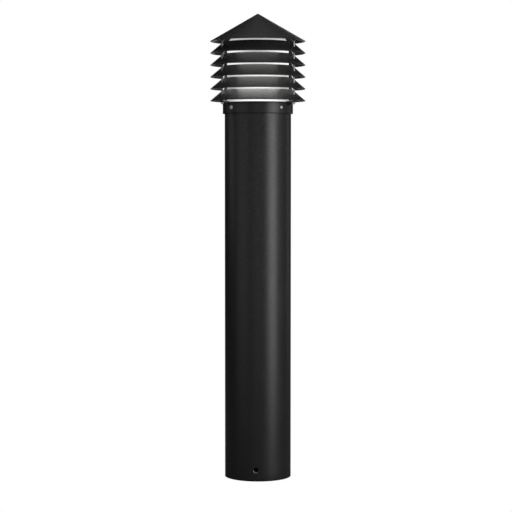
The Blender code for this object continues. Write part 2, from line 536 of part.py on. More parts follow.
# ---- Driver tray, which hangs inside the post -----------------------------------------
def build_tray(head, zinc, steel, case, terminal_plastic, green, jacket):
    foot_top = TRAY_BOSS_BOTTOM - FIT_GAP
    foot_bottom = foot_top - TRAY_SHEET
    back = TRAY_BACK_Y + TRAY_SHEET
    outline = [(back, foot_top), (TRAY_FRONT_Y, foot_top), (TRAY_FRONT_Y, foot_bottom),
               (TRAY_BACK_Y, foot_bottom), (TRAY_BACK_Y, TRAY_BOTTOM), (back, TRAY_BOTTOM)]
    sheet = extruded([(-TRAY_HALF_WIDTH, y, z) for y, z in outline], (2 * TRAY_HALF_WIDTH, 0, 0))
    driver_top = DRIVER_BOTTOM + DRIVER_SIZE.z
    face = TRAY_BACK_Y - FIT_GAP
    tab_screw_zs = (DRIVER_BOTTOM - DRIVER_TAB.z / 2, driver_top + DRIVER_TAB.z / 2)
    holes = rod_shape((0, 0, foot_bottom - PAST), (0, 0, foot_top + PAST), WIRE_HOLE_RADIUS)
    for x in (-TRAY_BOSS_X, TRAY_BOSS_X):
        rod_shape((x, TRAY_BOSS_Y, foot_bottom - PAST), (x, TRAY_BOSS_Y, foot_top + PAST),
                  TRAY_FOOT_HOLE, bm=holes)
    for z in (*tab_screw_zs, GROUND_SCREW_Z):
        rod_shape((0, TRAY_BACK_Y - PAST, z), (0, back + PAST, z), SHEET_SCREW_HOLE, bm=holes)
    place("driver_tray", combined("driver_tray", sheet, [("DIFFERENCE", holes)]), zinc, head)

    for number, x in enumerate((-TRAY_BOSS_X, TRAY_BOSS_X), 1):
        place_pan_screw(f"tray_screw_{number}", TRAY_SCREW, (x, TRAY_BOSS_Y, foot_bottom - FIT_GAP),
                        (0, 0, 1), steel, head)

    case_low = Vector((-DRIVER_SIZE.x / 2, face - DRIVER_SIZE.y, DRIVER_BOTTOM))
    case_high = Vector((DRIVER_SIZE.x / 2, face, driver_top))
    tabs = block((-DRIVER_TAB.x / 2, face - DRIVER_TAB.y, DRIVER_BOTTOM - DRIVER_TAB.z),
                 (DRIVER_TAB.x / 2, face, driver_top + DRIVER_TAB.z))
    tab_holes = bmesh.new()
    for z in tab_screw_zs:
        rod_shape((0, face - DRIVER_TAB.y - PAST, z), (0, face + PAST, z), SHEET_SCREW_HOLE, bm=tab_holes)
    place("led_driver", combined("led_driver", block(case_low, case_high), [
        ("UNION", tabs), ("DIFFERENCE", tab_holes)]), case, head)
    for number, z in enumerate(tab_screw_zs, 1):
        place_pan_screw(f"driver_screw_{number}", DRIVER_SCREW, (0, face - DRIVER_TAB.y - FIT_GAP, z),
                        (0, 1, 0), steel, head)

    terminal_top = TERMINAL_BOTTOM + TERMINAL_SIZE.z
    terminal = block((-TERMINAL_SIZE.x / 2, face - TERMINAL_SIZE.y, TERMINAL_BOTTOM),
                     (TERMINAL_SIZE.x / 2, face, terminal_top))
    terminal_y = face - TERMINAL_SIZE.y / 2
    port_radius, port_depth = TERMINAL_PORT
    ports = bmesh.new()
    for x in (-TERMINAL_PORT_PITCH, 0, TERMINAL_PORT_PITCH):
        rod_shape((x, terminal_y, TERMINAL_BOTTOM - PAST), (x, terminal_y, TERMINAL_BOTTOM + port_depth),
                  port_radius, bm=ports)
    place("terminal_block", combined("terminal_block", terminal, [("DIFFERENCE", ports)]),
          terminal_plastic, head)
    place_pan_screw("ground_screw", GROUND_SCREW, (0, face, GROUND_SCREW_Z), (0, 1, 0), green, head)

    middle_y = face - DRIVER_SIZE.y / 2
    build_lead("lamp_lead", [
        (0, middle_y, driver_top + FIT_GAP), (0, middle_y, driver_top + LAMP_LEAD_RISE),
        (0, 0, driver_top + LAMP_LEAD_BEND), (0, 0, PLATE_FACE - FIT_GAP)], jacket, head)
    build_lead("driver_lead", [
        (DRIVER_LEAD_X, middle_y, DRIVER_BOTTOM - FIT_GAP),
        (DRIVER_LEAD_X, middle_y, DRIVER_BOTTOM - DRIVER_LEAD_RUN),
        (0, terminal_y, terminal_top + DRIVER_LEAD_RUN),
        (0, terminal_y, terminal_top + FIT_GAP)], jacket, head)


def build_lead(name, controls, material, head):
    """Round lead along a smooth route, as a bevelled curve with closed ends."""
    curve = bpy.data.curves.new(name, "CURVE")
    curve.dimensions = "3D"
    curve.bevel_depth = LEAD_RADIUS
    curve.bevel_resolution = 2
    curve.use_fill_caps = True
    spline = curve.splines.new("POLY")
    route = smooth_route(controls)
    spline.points.add(len(route) - 1)
    for point, place_on_route in zip(spline.points, route):
        point.co = (*place_on_route, 1.0)
    curve.materials.append(material)
    lead = bpy.data.objects.new(name, curve)
    bpy.context.scene.collection.objects.link(lead)
    lead.parent = head


def main():
    for leftover in list(bpy.data.objects):
        bpy.data.objects.remove(leftover)
    paint = make_material("black_powder_coat", (0.018, 0.018, 0.019), 0.45, 0.0)
    casting = make_material("cast_aluminium", (0.55, 0.56, 0.57), 0.5, 1.0)
    steel = make_material("stainless_steel", (0.62, 0.61, 0.59), 0.3, 1.0)
    dark_steel = make_material("black_oxide_steel", (0.03, 0.03, 0.03), 0.4, 1.0)
    frosted = make_material("frosted_glass", (0.93, 0.93, 0.91), 0.4, 0.0)
    rubber = make_material("seal_rubber", (0.03, 0.03, 0.03), 0.8, 0.0)
    board_white = make_material("board_white", (0.85, 0.85, 0.83), 0.5, 0.0)
    led_yellow = make_material("led_phosphor", (0.95, 0.75, 0.20), 0.3, 0.0)
    white_paint = make_material("white_reflector", (0.90, 0.90, 0.90), 0.4, 0.0)
    zinc = make_material("zinc_plated_steel", (0.60, 0.62, 0.65), 0.4, 1.0)
    case = make_material("driver_case", (0.75, 0.75, 0.73), 0.5, 0.0)
    terminal_plastic = make_material("terminal_plastic", (0.80, 0.79, 0.74), 0.4, 0.0)
    green = make_material("green_screw", (0.05, 0.30, 0.10), 0.4, 0.0)
    jacket = make_material("lead_jacket", (0.04, 0.04, 0.04), 0.6, 0.0)

    head = bpy.data.objects.new("head_slide", None)
    bpy.context.scene.collection.objects.link(head)
    build_post(paint, casting, dark_steel)
    build_fitter(head, paint, steel)
    build_stack(head, paint, steel)
    build_lamp(head, frosted, rubber, board_white, led_yellow, white_paint, steel)
    build_tray(head, zinc, steel, case, terminal_plastic, green, jacket)


main()
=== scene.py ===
"""Louvred bollard light: finished surfaces and materials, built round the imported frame.

Lengths are in metres, +Z up. An azimuth is counted from the front (-Y), positive towards +X.
Each new piece is a surface worked out on a grid of points and welded at its seams.
"""

import math

import bmesh
import bpy
import numpy as np
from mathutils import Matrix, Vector


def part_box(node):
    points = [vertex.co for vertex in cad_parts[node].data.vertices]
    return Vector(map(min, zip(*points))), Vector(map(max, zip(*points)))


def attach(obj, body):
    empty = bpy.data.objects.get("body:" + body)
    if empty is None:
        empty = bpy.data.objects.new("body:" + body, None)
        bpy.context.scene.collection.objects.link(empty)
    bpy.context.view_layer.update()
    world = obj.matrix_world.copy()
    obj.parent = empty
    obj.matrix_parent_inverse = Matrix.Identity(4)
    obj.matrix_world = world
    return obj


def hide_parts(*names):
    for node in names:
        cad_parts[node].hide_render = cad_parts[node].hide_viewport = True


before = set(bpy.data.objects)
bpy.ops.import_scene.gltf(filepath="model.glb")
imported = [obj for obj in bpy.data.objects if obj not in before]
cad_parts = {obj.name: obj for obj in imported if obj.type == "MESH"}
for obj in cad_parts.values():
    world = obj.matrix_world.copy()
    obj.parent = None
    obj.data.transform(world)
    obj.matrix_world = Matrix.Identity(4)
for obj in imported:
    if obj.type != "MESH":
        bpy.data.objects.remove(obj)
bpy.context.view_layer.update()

# ---- Sizes that the frame's boxes don't give -------------------------------------------
STACK_TURN = math.radians(4)
ROD_COUNT = 3
LOUVRE_COUNT = 5
COLUMNS = 240                    # grid columns round a large turned piece
SMALL_COLUMNS = 48
LOUVRE_RISE = 0.0248
LOUVRE_SLOPE = 0.852
LOUVRE_WALL = 0.0025
CAP_WALL = 0.0030
RIM_EDGE = 0.0010
BOSS_DROP = 0.0008
SEAT_RISE = 0.0104
BOSS_RADIUS = 0.0052
ROD_HOLE = 0.0023
SPACER_HOLE = 0.003475
SPACER_BORE = 0.0023
ROD_RADIUS = 0.0020
ROD_PITCH = 0.0007
ROD_THREAD = 0.0003
NUT_CORNER = 0.00404
CAP_NOSE = 0.0022                # where the cap's point starts to round off
CAP_MIDDLE = 0.05                # a radius between the cap's rib and its bosses
POST_WALL = 0.0032
POST_HOLE = 0.00565
BASE_SCREW_Z = 0.0262
BASE_SCREW_BORE = 0.0053
FIT_GAP = 0.0003
COLLAR_RADIUS = 0.0806
COLLAR_TOP = 0.8639
COLLAR_CHAMFER = 0.0008
COLLAR_BORE = 0.0767
LENS_GROOVE = (0.0666, 0.0714)
BOARD_RECESS_RADIUS = 0.0585
WIRE_HOLE = 0.0070
EAR_RADIUS = 0.0058
EAR_BOTTOM = 0.8625
EAR_INNER = 0.0770
GUSSET_REACH = 0.0080
GUSSET_WIDTH = 0.0080
TRAY_BOSS = (0.0280, -0.0150)    # x (both sides) and y
TRAY_BOSS_RADIUS = 0.0060
TRAY_BOSS_BOTTOM = 0.8499
TRAY_BORE = (0.0021, 0.8583)     # radius, top
BOARD_SCREW_X = 0.0480
BOARD_SCREW_BORE = (0.0017, 0.8587)  # radius, bottom
COLLAR_HOLE = 0.0043
SPOT_FACE = 0.0054
SPOT_DEPTH = 0.0012
ANCHOR_RADIUS = 0.0720
ANCHOR_SKIRT = 0.0060
ANCHOR_FLOOR = 0.0100
CABLE_ENTRY = 0.0380
SLOT_CIRCLE = 0.0510
SLOT_WIDTH = 0.0130
SLOT_HALF_ANGLE = math.radians(14)
BASE_BOSS_RADIUS = 0.0110
BASE_BOSS_INNER = 0.0560
TRAY_SHEET = 0.0020
TRAY_BEND = 0.0030
TRAY_SCREW_HOLE = 0.0022
DRIVER_TAB = 0.010
DRIVER_PLATE = (0.015, 0.002)    # half width and thickness
SHEET_HOLE = 0.0018
LEAD_RADIUS = 0.0030
LENS_WALL = 0.0032
LENS_SHOULDER = 0.0250
CROWN_RIB = (0.0260, 0.0295)
LED_COUNT = 6
REFLECTOR_WALL = 0.0012
SEALS = {"lens_gasket": (0.0669, 0.0711), "crown_gasket": (0.0240, 0.0315)}     # inner and outer radius
COLLAR_SCREW_AZIMUTHS = [-math.pi / 4 + math.pi / 2 * k for k in range(4)]
COLLAR_SCREW = (0.0040, 0.0040, 0.0025, 0.00125)     # radius, flats and depth of the key's socket, thread pitch
COLLAR_SCREW_END = 0.0812
BASE_SCREW_AZIMUTHS = [2 * math.pi / 3 * k for k in range(3)]
BASE_SCREW = (0.0050, 0.0050, 0.0050, 0.0015)
BASE_SCREW_ENDS = (0.0580, 0.0746)
PAN_SCREWS = {"board": (0.0028, 0.0018, 0.0014), "tray": (0.0038, 0.0024, 0.0018),
              "driver": (0.0030, 0.0020, 0.0015), "ground": (0.0042, 0.0030, 0.0015)}  # head, its height, shank
SOFT_EDGE = 0.0004               # small rounding on coated edges
BEVEL = 0.0002                   # break on drilled and fine edges
EDGE_FADE = 0.0015               # how fast wear falls off from an edge
ARC_STEPS = 4
SHARP_ANGLE = 35.0               # degrees between faces, above which an edge isn't shaded smooth
PAST = 0.002                     # how far a cutter runs past what it cuts
UP = np.array((0.0, 0.0, 1.0))


def middle_of(name):
    """Middle of a CAD node's box."""
    low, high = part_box(name)
    return (np.array(low, float) + np.array(high, float)) / 2


# ---- Grids of points -------------------------------------------------------------------
def ring(azimuth, radius, z):
    """Points (r sin a, -r cos a, z) for arrays of azimuth, radius and height."""
    azimuth, radius, z = np.broadcast_arrays(azimuth, radius, z)
    return np.stack([radius * np.sin(azimuth), -radius * np.cos(azimuth), z], axis=-1)


def compass(azimuth):
    """Unit vectors at an azimuth: across (to the right, seen from outside) and outward."""
    return np.array((math.cos(azimuth), math.sin(azimuth), 0.0)), ring(azimuth, 1.0, 0.0)


def around(count=COLUMNS, first=0.0):
    """Evenly spaced azimuths of a full turn."""
    return first + np.arange(count) * (2 * math.pi / count)


def grid_faces(rows, columns, wrap_rows, wrap_columns=True):
    """Index quads of a grid, kept as rows x columns x 4 so that cells can be left out."""
    i, j = np.meshgrid(np.arange(rows if wrap_rows else rows - 1),
                       np.arange(columns if wrap_columns else columns - 1), indexing="ij")
    below, right = (i + 1) % rows, (j + 1) % columns
    return np.stack([i * columns + j, i * columns + right, below * columns + right, below * columns + j], -1)


def as_patch(points, wrap_rows=False, wrap_columns=True, keep=None):
    """A grid of points with its quads; keep masks the cells that stay."""
    faces = grid_faces(points.shape[0], points.shape[1], wrap_rows, wrap_columns)
    faces = faces.reshape(-1, 4) if keep is None else faces[keep]
    return points.reshape(-1, 3), faces


def rounded(corners, steps=ARC_STEPS, closed=True):
    """Outline through corners (u, v, radius), each one an arc that is tangent to its two sides."""
    corners = np.array(corners, float)
    points = []
    for k, (u, v, radius) in enumerate(corners):
        here = np.array((u, v))
        inner_corner = closed or 0 < k < len(corners) - 1
        if radius == 0 or not inner_corner:
            points.append(here[None])
            continue
        back = corners[k - 1, :2] - here
        ahead = corners[(k + 1) % len(corners), :2] - here
        back, ahead = back / np.linalg.norm(back), ahead / np.linalg.norm(ahead)
        half = math.acos(np.clip(back @ ahead, -1, 1)) / 2
        centre = here + (back + ahead) / np.linalg.norm(back + ahead) * radius / math.sin(half)
        first, last = (here + side * radius / math.tan(half) - centre for side in (back, ahead))
        sweep = math.pi - 2 * half
        t = np.linspace(0, 1, steps + 1)[:, None]
        points.append(centre + (np.sin((1 - t) * sweep) * first + np.sin(t * sweep) * last) / math.sin(sweep))
    return np.concatenate(points)


def turned(outline, columns=COLUMNS, closed=True, centre=(0.0, 0.0)):
    """Surface of revolution: every outline point (radius, z) carried round the upright axis."""
    outline = np.asarray(outline, float)
    points = ring(around(columns)[None], outline[:, :1], outline[:, 1:])
    points = points + np.array([centre[0], centre[1], 0.0])
    return as_patch(points, wrap_rows=closed)


def loop_angles(count):
    """Angles of the points round a square window, corner first, spaced as on a circle."""
    return -0.75 * math.pi + np.arange(count) * (2 * math.pi / count)


def window_loop(row, column, size):
    """Grid indices round a square window of size x size cells whose lowest corner is (row, column)."""
    along = np.arange(size)
    rows = np.concatenate([0 * along, along, 0 * along + size, size - along]) + row
    columns = np.concatenate([along, 0 * along + size, size - along, 0 * along]) + column
    return rows, columns


def pierced(outline, azimuths, windows):
    """Turned surface with square windows left open, each closed again by a patch and a bore.

    Each window is (row, column, size, level, surface, loop, tail). surface(azimuth, q) gives points, with q
    a radius (level 0) or a height (level 1). loop is the hole's round edge as (azimuth, q) arrays, and tail is
    the list of rings that go on from it. The patch runs in straight lines from the window's edge to the round
    one and is laid on the surface.
    """
    outline = np.asarray(outline, float)
    rows, columns = len(outline), len(azimuths)
    points = ring(azimuths[None], outline[:, :1], outline[:, 1:])
    keep = np.ones((rows, columns), bool)
    patches = []
    for row, column, size, level, surface, loop, tail in windows:
        i, j = window_loop(row, column, size)
        keep[row:row + size, np.arange(column, column + size) % columns] = False
        step = azimuths[1] - azimuths[0]
        edge_azimuth = azimuths[0] + j * step
        edge_level = outline[i, level]
        if outline[row, level] > outline[row + size, level]:
            flip = outline[row, level] + outline[row + size, level]
            edge_level = flip - edge_level
        t = np.linspace(0, 1, 5)[:, None]
        patch = surface(edge_azimuth * (1 - t) + loop[0] * t, edge_level * (1 - t) + loop[1] * t)
        patches.append(as_patch(np.concatenate([patch, np.array(tail)]) if len(tail) else patch))
    return [as_patch(points, wrap_rows=True, keep=keep)] + patches


def axis_rings(centre, across, up, along, path, angles):
    """Rings round a hole's axis, one for each (radius, distance along the axis) of the path."""
    circle = np.cos(angles)[:, None] * across + np.sin(angles)[:, None] * up
    return [centre + radius * circle + distance * along for radius, distance in path]


# ---- Meshes and pieces -----------------------------------------------------------------
def shade_round(mesh, sharp):
    mesh.shade_smooth()
    mesh.set_sharp_from_angle(angle=math.radians(sharp))
    return mesh


def weld(name, patches, sharp=SHARP_ANGLE):
    """One mesh from patches: seams and poles merged, faces turned outwards, sharp edges kept."""
    points, faces, start = [], [], 0
    for patch_points, patch_faces in patches:
        points.append(patch_points)
        faces.extend((patch_faces + start).tolist())
        start += len(patch_points)
    mesh = bpy.data.meshes.new(name)
    mesh.from_pydata(np.concatenate(points).tolist(), [], faces)
    bm = bmesh.new()
    bm.from_mesh(mesh)
    bmesh.ops.remove_doubles(bm, verts=bm.verts, dist=2e-6)
    bmesh.ops.recalc_face_normals(bm, faces=bm.faces)
    bm.to_mesh(mesh)
    bm.free()
    return shade_round(mesh, sharp)


def placed(name, data):
    """New object of some data, linked to the scene."""
    made = bpy.data.objects.new(name, data)
    bpy.context.scene.collection.objects.link(made)
    return made


def fused(mesh, **tools):
    """The mesh after Boolean steps, given as operation=(patches of a tool, patches of the next tool, ...)."""
    body = placed("fusing", mesh)
    helpers = [body]
    for operation, groups in tools.items():
        for patches in groups:
            helpers.append(placed("tool", weld("tool", patches)))
            step = body.modifiers.new(operation, "BOOLEAN")
            step.operation = operation
            step.solver = "EXACT"
            step.object = helpers[-1]
    bpy.context.view_layer.update()
    result = bpy.data.meshes.new_from_object(body.evaluated_get(bpy.context.evaluated_depsgraph_get()))
    result.name = mesh.name
    for helper in helpers:
        bpy.data.objects.remove(helper)
    return shade_round(result, SHARP_ANGLE)


def mark_near(mesh, name, distance):
    """Store how near each point is to something: 1 on it, falling to 0; distance(points) is in metres."""
    points = np.zeros(len(mesh.vertices) * 3)
    mesh.vertices.foreach_get("co", points)
    near = np.exp(-distance(points.reshape(-1, 3)) / EDGE_FADE)
    mesh.attributes.new(name, "FLOAT", "POINT").data.foreach_set("value", near.astype(np.float32))


def from_circles(*circles):
    """Distance to the nearest of some level circles (radius, z) round the axis."""
    def distance(points):
        reach = np.hypot(points[:, 0], points[:, 1])
        return np.min([np.hypot(reach - radius, points[:, 2] - z) for radius, z in circles], axis=0)
    return distance


def piece(name, shape, finish, body, *nodes, sharp=SHARP_ANGLE):
    """Object of a mesh, or of patches to weld, that rides on a body and stands for CAD nodes."""
    material, slot = finish
    made = placed(name, shape if isinstance(shape, bpy.types.Mesh) else weld(name, shape, sharp))
    made.data.materials.clear()
    made.data.materials.append(material)
    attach(made, body)
    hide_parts(*nodes)


# ---- Shader node groups ----------------------------------------------------------------
def new_group(name, inputs, outputs):
    """Empty node group with named float inputs and outputs."""
    group = bpy.data.node_groups.new(name, "ShaderNodeTree")
    for in_out, labels in (("INPUT", inputs), ("OUTPUT", outputs)):
        for label in labels:
            group.interface.new_socket(label, in_out=in_out, socket_type="NodeSocketFloat")
    entry, exit_node = group.nodes.new("NodeGroupInput"), group.nodes.new("NodeGroupOutput")
    return group, entry.outputs, exit_node.inputs


def add_node(tree, kind, settings=None, **links):
    """Add a node, set its properties, and link or set its inputs by name."""
    node = tree.nodes.new(kind)
    for key, value in (settings or {}).items():
        setattr(node, key, value)
    for key, value in links.items():
        by_number = key[0] == "i" and key[1:].isdigit()
        socket = node.inputs[int(key[1:]) if by_number else key.replace("_", " ")]
        if isinstance(value, bpy.types.NodeSocket):
            tree.links.new(value, socket)
        else:
            socket.default_value = value
    return node


def arithmetic(tree, operation, a, b=0.0, clamp=False):
    """Output of a maths node; a and b are numbers or sockets."""
    return add_node(tree, "ShaderNodeMath", {"operation": operation, "use_clamp": clamp}, i0=a, i1=b).outputs[0]


def spread_value(tree, value, low, high, to_low=0.0, to_high=1.0):
    """Value carried from the range low..high to the range to_low..to_high, and kept within it."""
    node = add_node(tree, "ShaderNodeMapRange", {"clamp": True}, Value=value, From_Min=low, From_Max=high,
                    To_Min=to_low, To_Max=to_high)
    return node.outputs["Result"]


def coordinates(tree, kind):
    """X, Y and Z of a texture coordinate."""
    where = add_node(tree, "ShaderNodeTexCoord").outputs[kind]
    return add_node(tree, "ShaderNodeSeparateXYZ", i0=where).outputs


def object_noise(tree, scale, detail=3.0, roughness=0.5):
    """Noise node on the object's own coordinates."""
    where = add_node(tree, "ShaderNodeTexCoord").outputs["Object"]
    return add_node(tree, "ShaderNodeTexNoise", Vector=where, Scale=scale, Detail=detail, Roughness=roughness)


def coat_grain_group():
    """Powder coat: a fine orange peel as height, and a broad, faint tone."""
    group, given, out = new_group("coat_grain", ["Peel Scale"], ["Height", "Tone"])
    peel = object_noise(group, given["Peel Scale"], 2.0, 0.55).outputs[0]
    speck = object_noise(group, arithmetic(group, "MULTIPLY", given["Peel Scale"], 3.7), 1.0).outputs[0]
    group.links.new(arithmetic(group, "ADD", peel, arithmetic(group, "MULTIPLY", speck, 0.35)), out["Height"])
    group.links.new(object_noise(group, 14.0, 4.0, 0.6).outputs[0], out["Tone"])
    return group


def edge_wear_group():
    """Worn edges: the stored nearness to an edge, broken up by noise."""
    group, given, out = new_group("edge_wear", ["Edge", "Amount"], ["Mask"])
    breaks = spread_value(group, object_noise(group, 260.0, 4.0, 0.65).outputs[0], 0.52, 0.68)
    mask = arithmetic(group, "MULTIPLY", arithmetic(group, "MULTIPLY", given["Edge"], breaks), given["Amount"])
    group.links.new(mask, out["Mask"])
    return group


def dust_group():
    """Dust that settles on faces that look up, in soft patches."""
    group, given, out = new_group("dust", ["Amount"], ["Mask"])
    normal = add_node(group, "ShaderNodeNewGeometry").outputs["Normal"]
    facing = add_node(group, "ShaderNodeSeparateXYZ", i0=normal)
    upward = spread_value(group, facing.outputs["Z"], 0.15, 0.95)
    patchy = spread_value(group, object_noise(group, 45.0, 5.0, 0.6).outputs[0], 0.35, 0.75, 0.35, 1.0)
    mask = arithmetic(group, "MULTIPLY", arithmetic(group, "MULTIPLY", upward, patchy), given["Amount"])
    group.links.new(mask, out["Mask"])
    return group


def machining_group():
    """Fine lathe lines across the upright axis, as height and tone."""
    group, given, out = new_group("machining", ["Pitch"], ["Height", "Tone"])
    phase = arithmetic(group, "DIVIDE", coordinates(group, "Object")["Z"], given["Pitch"])
    wave = arithmetic(group, "SINE", arithmetic(group, "MULTIPLY", phase, 2 * math.pi))
    drift = object_noise(group, 600.0, 2.0).outputs[0]
    group.links.new(arithmetic(group, "ADD", arithmetic(group, "MULTIPLY", wave, 0.3), drift), out["Height"])
    group.links.new(drift, out["Tone"])
    return group


COAT_GRAIN = coat_grain_group()
EDGE_WEAR = edge_wear_group()
DUST = dust_group()
MACHINING = machining_group()


# ---- Materials -------------------------------------------------------------------------
def new_material(name, **values):
    """Principled material with uniform values set straight on the shader's sockets."""
    material = bpy.data.materials.new(name)
    material.use_nodes = True
    tree = material.node_tree
    shader = tree.nodes["Principled BSDF"]
    for key, value in values.items():
        shader.inputs[key.replace("_", " ")].default_value = value
    return material, tree, shader


def place_group(tree, group, **links):
    """Outputs of a shared node group."""
    return add_node(tree, "ShaderNodeGroup", {"node_tree": group}, **links).outputs


def two_tone(tree, mask, low, high):
    """Colour low where the mask is 0 and high where it is 1; each is a colour or a socket."""
    mix = add_node(tree, "ShaderNodeMix", {"data_type": "RGBA"}, i0=mask)
    for socket, colour in ((mix.inputs[6], low), (mix.inputs[7], high)):
        if isinstance(colour, bpy.types.NodeSocket):
            tree.links.new(colour, socket)
        else:
            socket.default_value = (*colour, 1.0)
    return mix.outputs[2]


def bump(tree, shader, height, distance, strength=0.5):
    """Drive the shader's normal with a relief of so many metres."""
    node = add_node(tree, "ShaderNodeBump", Height=height, Distance=distance, Strength=strength)
    tree.links.new(node.outputs["Normal"], shader.inputs["Normal"])


COAT_DARK, COAT_LIGHT = (0.0105, 0.0105, 0.0108), (0.0135, 0.0135, 0.0138)
DUST_COLOUR = (0.16, 0.155, 0.145)
WORN_COAT = (0.10, 0.10, 0.10)
BARE_METAL = (0.62, 0.62, 0.61)


def powder_coat():
    """Black coat with orange peel, some dust on top, worn edges, and bare metal where "bare" is marked."""
    material, tree, shader = new_material("black_powder_coat")
    grain = place_group(tree, COAT_GRAIN, Peel_Scale=900.0)
    edge = add_node(tree, "ShaderNodeAttribute", {"attribute_name": "edge"}).outputs["Fac"]
    worn = place_group(tree, EDGE_WEAR, Edge=edge, Amount=0.35)["Mask"]
    dusty = place_group(tree, DUST, Amount=0.10)["Mask"]
    body = two_tone(tree, spread_value(tree, grain["Tone"], 0.3, 0.7), COAT_DARK, COAT_LIGHT)
    body = two_tone(tree, dusty, body, DUST_COLOUR)
    body = two_tone(tree, worn, body, WORN_COAT)
    bare = add_node(tree, "ShaderNodeAttribute", {"attribute_name": "bare"}).outputs["Fac"]
    bare = spread_value(tree, bare, 0.45, 0.75)
    body = two_tone(tree, bare, body, BARE_METAL)
    tree.links.new(body, shader.inputs["Base Color"])
    tree.links.new(bare, shader.inputs["Metallic"])
    rough = spread_value(tree, grain["Tone"], 0.3, 0.7, 0.36, 0.42)
    rough = arithmetic(tree, "ADD", rough, arithmetic(tree, "MULTIPLY", dusty, 0.8), clamp=True)
    tree.links.new(rough, shader.inputs["Roughness"])
    bump(tree, shader, grain["Height"], 0.00004, 0.6)
    return material


def satin_steel(name, dark, light):
    """Turned stainless steel, between two tones."""
    material, tree, shader = new_material(name, Metallic=1.0)
    lines = place_group(tree, MACHINING, Pitch=0.0004)
    tree.links.new(two_tone(tree, lines["Tone"], dark, light), shader.inputs["Base Color"])
    tree.links.new(spread_value(tree, lines["Tone"], 0.3, 0.7, 0.24, 0.36), shader.inputs["Roughness"])
    bump(tree, shader, lines["Height"], 0.00001)
    return material


def black_oxide():
    """Blackened steel with a fine mottle."""
    material, tree, shader = new_material("black_oxide_steel", Metallic=1.0)
    mottle = object_noise(tree, 700.0, 4.0).outputs[0]
    tree.links.new(two_tone(tree, mottle, (0.004, 0.004, 0.004), (0.014, 0.014, 0.013)), shader.inputs["Base Color"])
    tree.links.new(spread_value(tree, mottle, 0.3, 0.7, 0.35, 0.5), shader.inputs["Roughness"])
    return material


def cast_metal():
    """Sand-cast aluminium: a coarse skin in relief, and broad stains."""
    material, tree, shader = new_material("cast_aluminium", Metallic=1.0)
    skin = object_noise(tree, 420.0, 6.0, 0.7).outputs[0]
    stain = object_noise(tree, 30.0, 3.0).outputs[0]
    tree.links.new(two_tone(tree, stain, (0.42, 0.43, 0.44), (0.60, 0.61, 0.62)), shader.inputs["Base Color"])
    tree.links.new(spread_value(tree, skin, 0.3, 0.7, 0.45, 0.65), shader.inputs["Roughness"])
    bump(tree, shader, skin, 0.0003)
    return material


def mottled(name, low, high, rough, scale=300.0, depth=0.00005, **values):
    """Moulded or plated finish: two close colours and a little relief from one noise."""
    material, tree, shader = new_material(name, **values)
    skin = object_noise(tree, scale, 4.0, 0.6).outputs[0]
    tree.links.new(two_tone(tree, spread_value(tree, skin, 0.3, 0.7), low, high), shader.inputs["Base Color"])
    tree.links.new(spread_value(tree, skin, 0.3, 0.7, rough - 0.06, rough + 0.06), shader.inputs["Roughness"])
    bump(tree, shader, skin, depth)
    return material


LENS_SHINE = 13.0
LENS_LOBES = 3                   # the glow has a lobe in front of each gap between the rods
LENS_LEVELS = (                  # height, glow cast on the louvres, glow to the eye and its lobes
    (0.862, 0.80, 0.78, 0.18), (0.893, 0.95, 0.50, 0.25), (0.912, 1.00, 0.55, 0.20), (0.921, 0.78, 0.60, 0.15),
    (0.937, 0.42, 0.68, 0.00), (0.948, 0.31, 0.76, -0.12), (0.965, 0.16, 0.68, -0.20), (0.975, 0.20, 0.63, -0.28),
    (0.990, 0.37, 0.55, -0.20), (1.000, 0.33, 0.50, -0.10), (1.005, 0.10, 0.45, -0.05), (1.015, 0.03, 0.40, 0.0))


def level_curve(tree, height, column):
    """One column of LENS_LEVELS as a curve over the height, from -1 to 1."""
    node = add_node(tree, "ShaderNodeFloatCurve")
    tree.links.new(height, node.inputs["Value"])
    low, high = LENS_LEVELS[0][0], LENS_LEVELS[-1][0]
    curve = node.mapping.curves[0]
    node.mapping.clip_min_y, node.mapping.clip_max_y = -1.0, 1.0
    for number, row in enumerate(LENS_LEVELS):
        spot = ((row[0] - low) / (high - low), row[column])
        if number in (0, len(LENS_LEVELS) - 1):
            curve.points[0 if number == 0 else len(curve.points) - 1].location = spot
        else:
            curve.points.new(*spot)
    node.mapping.update()
    return node.outputs["Value"]


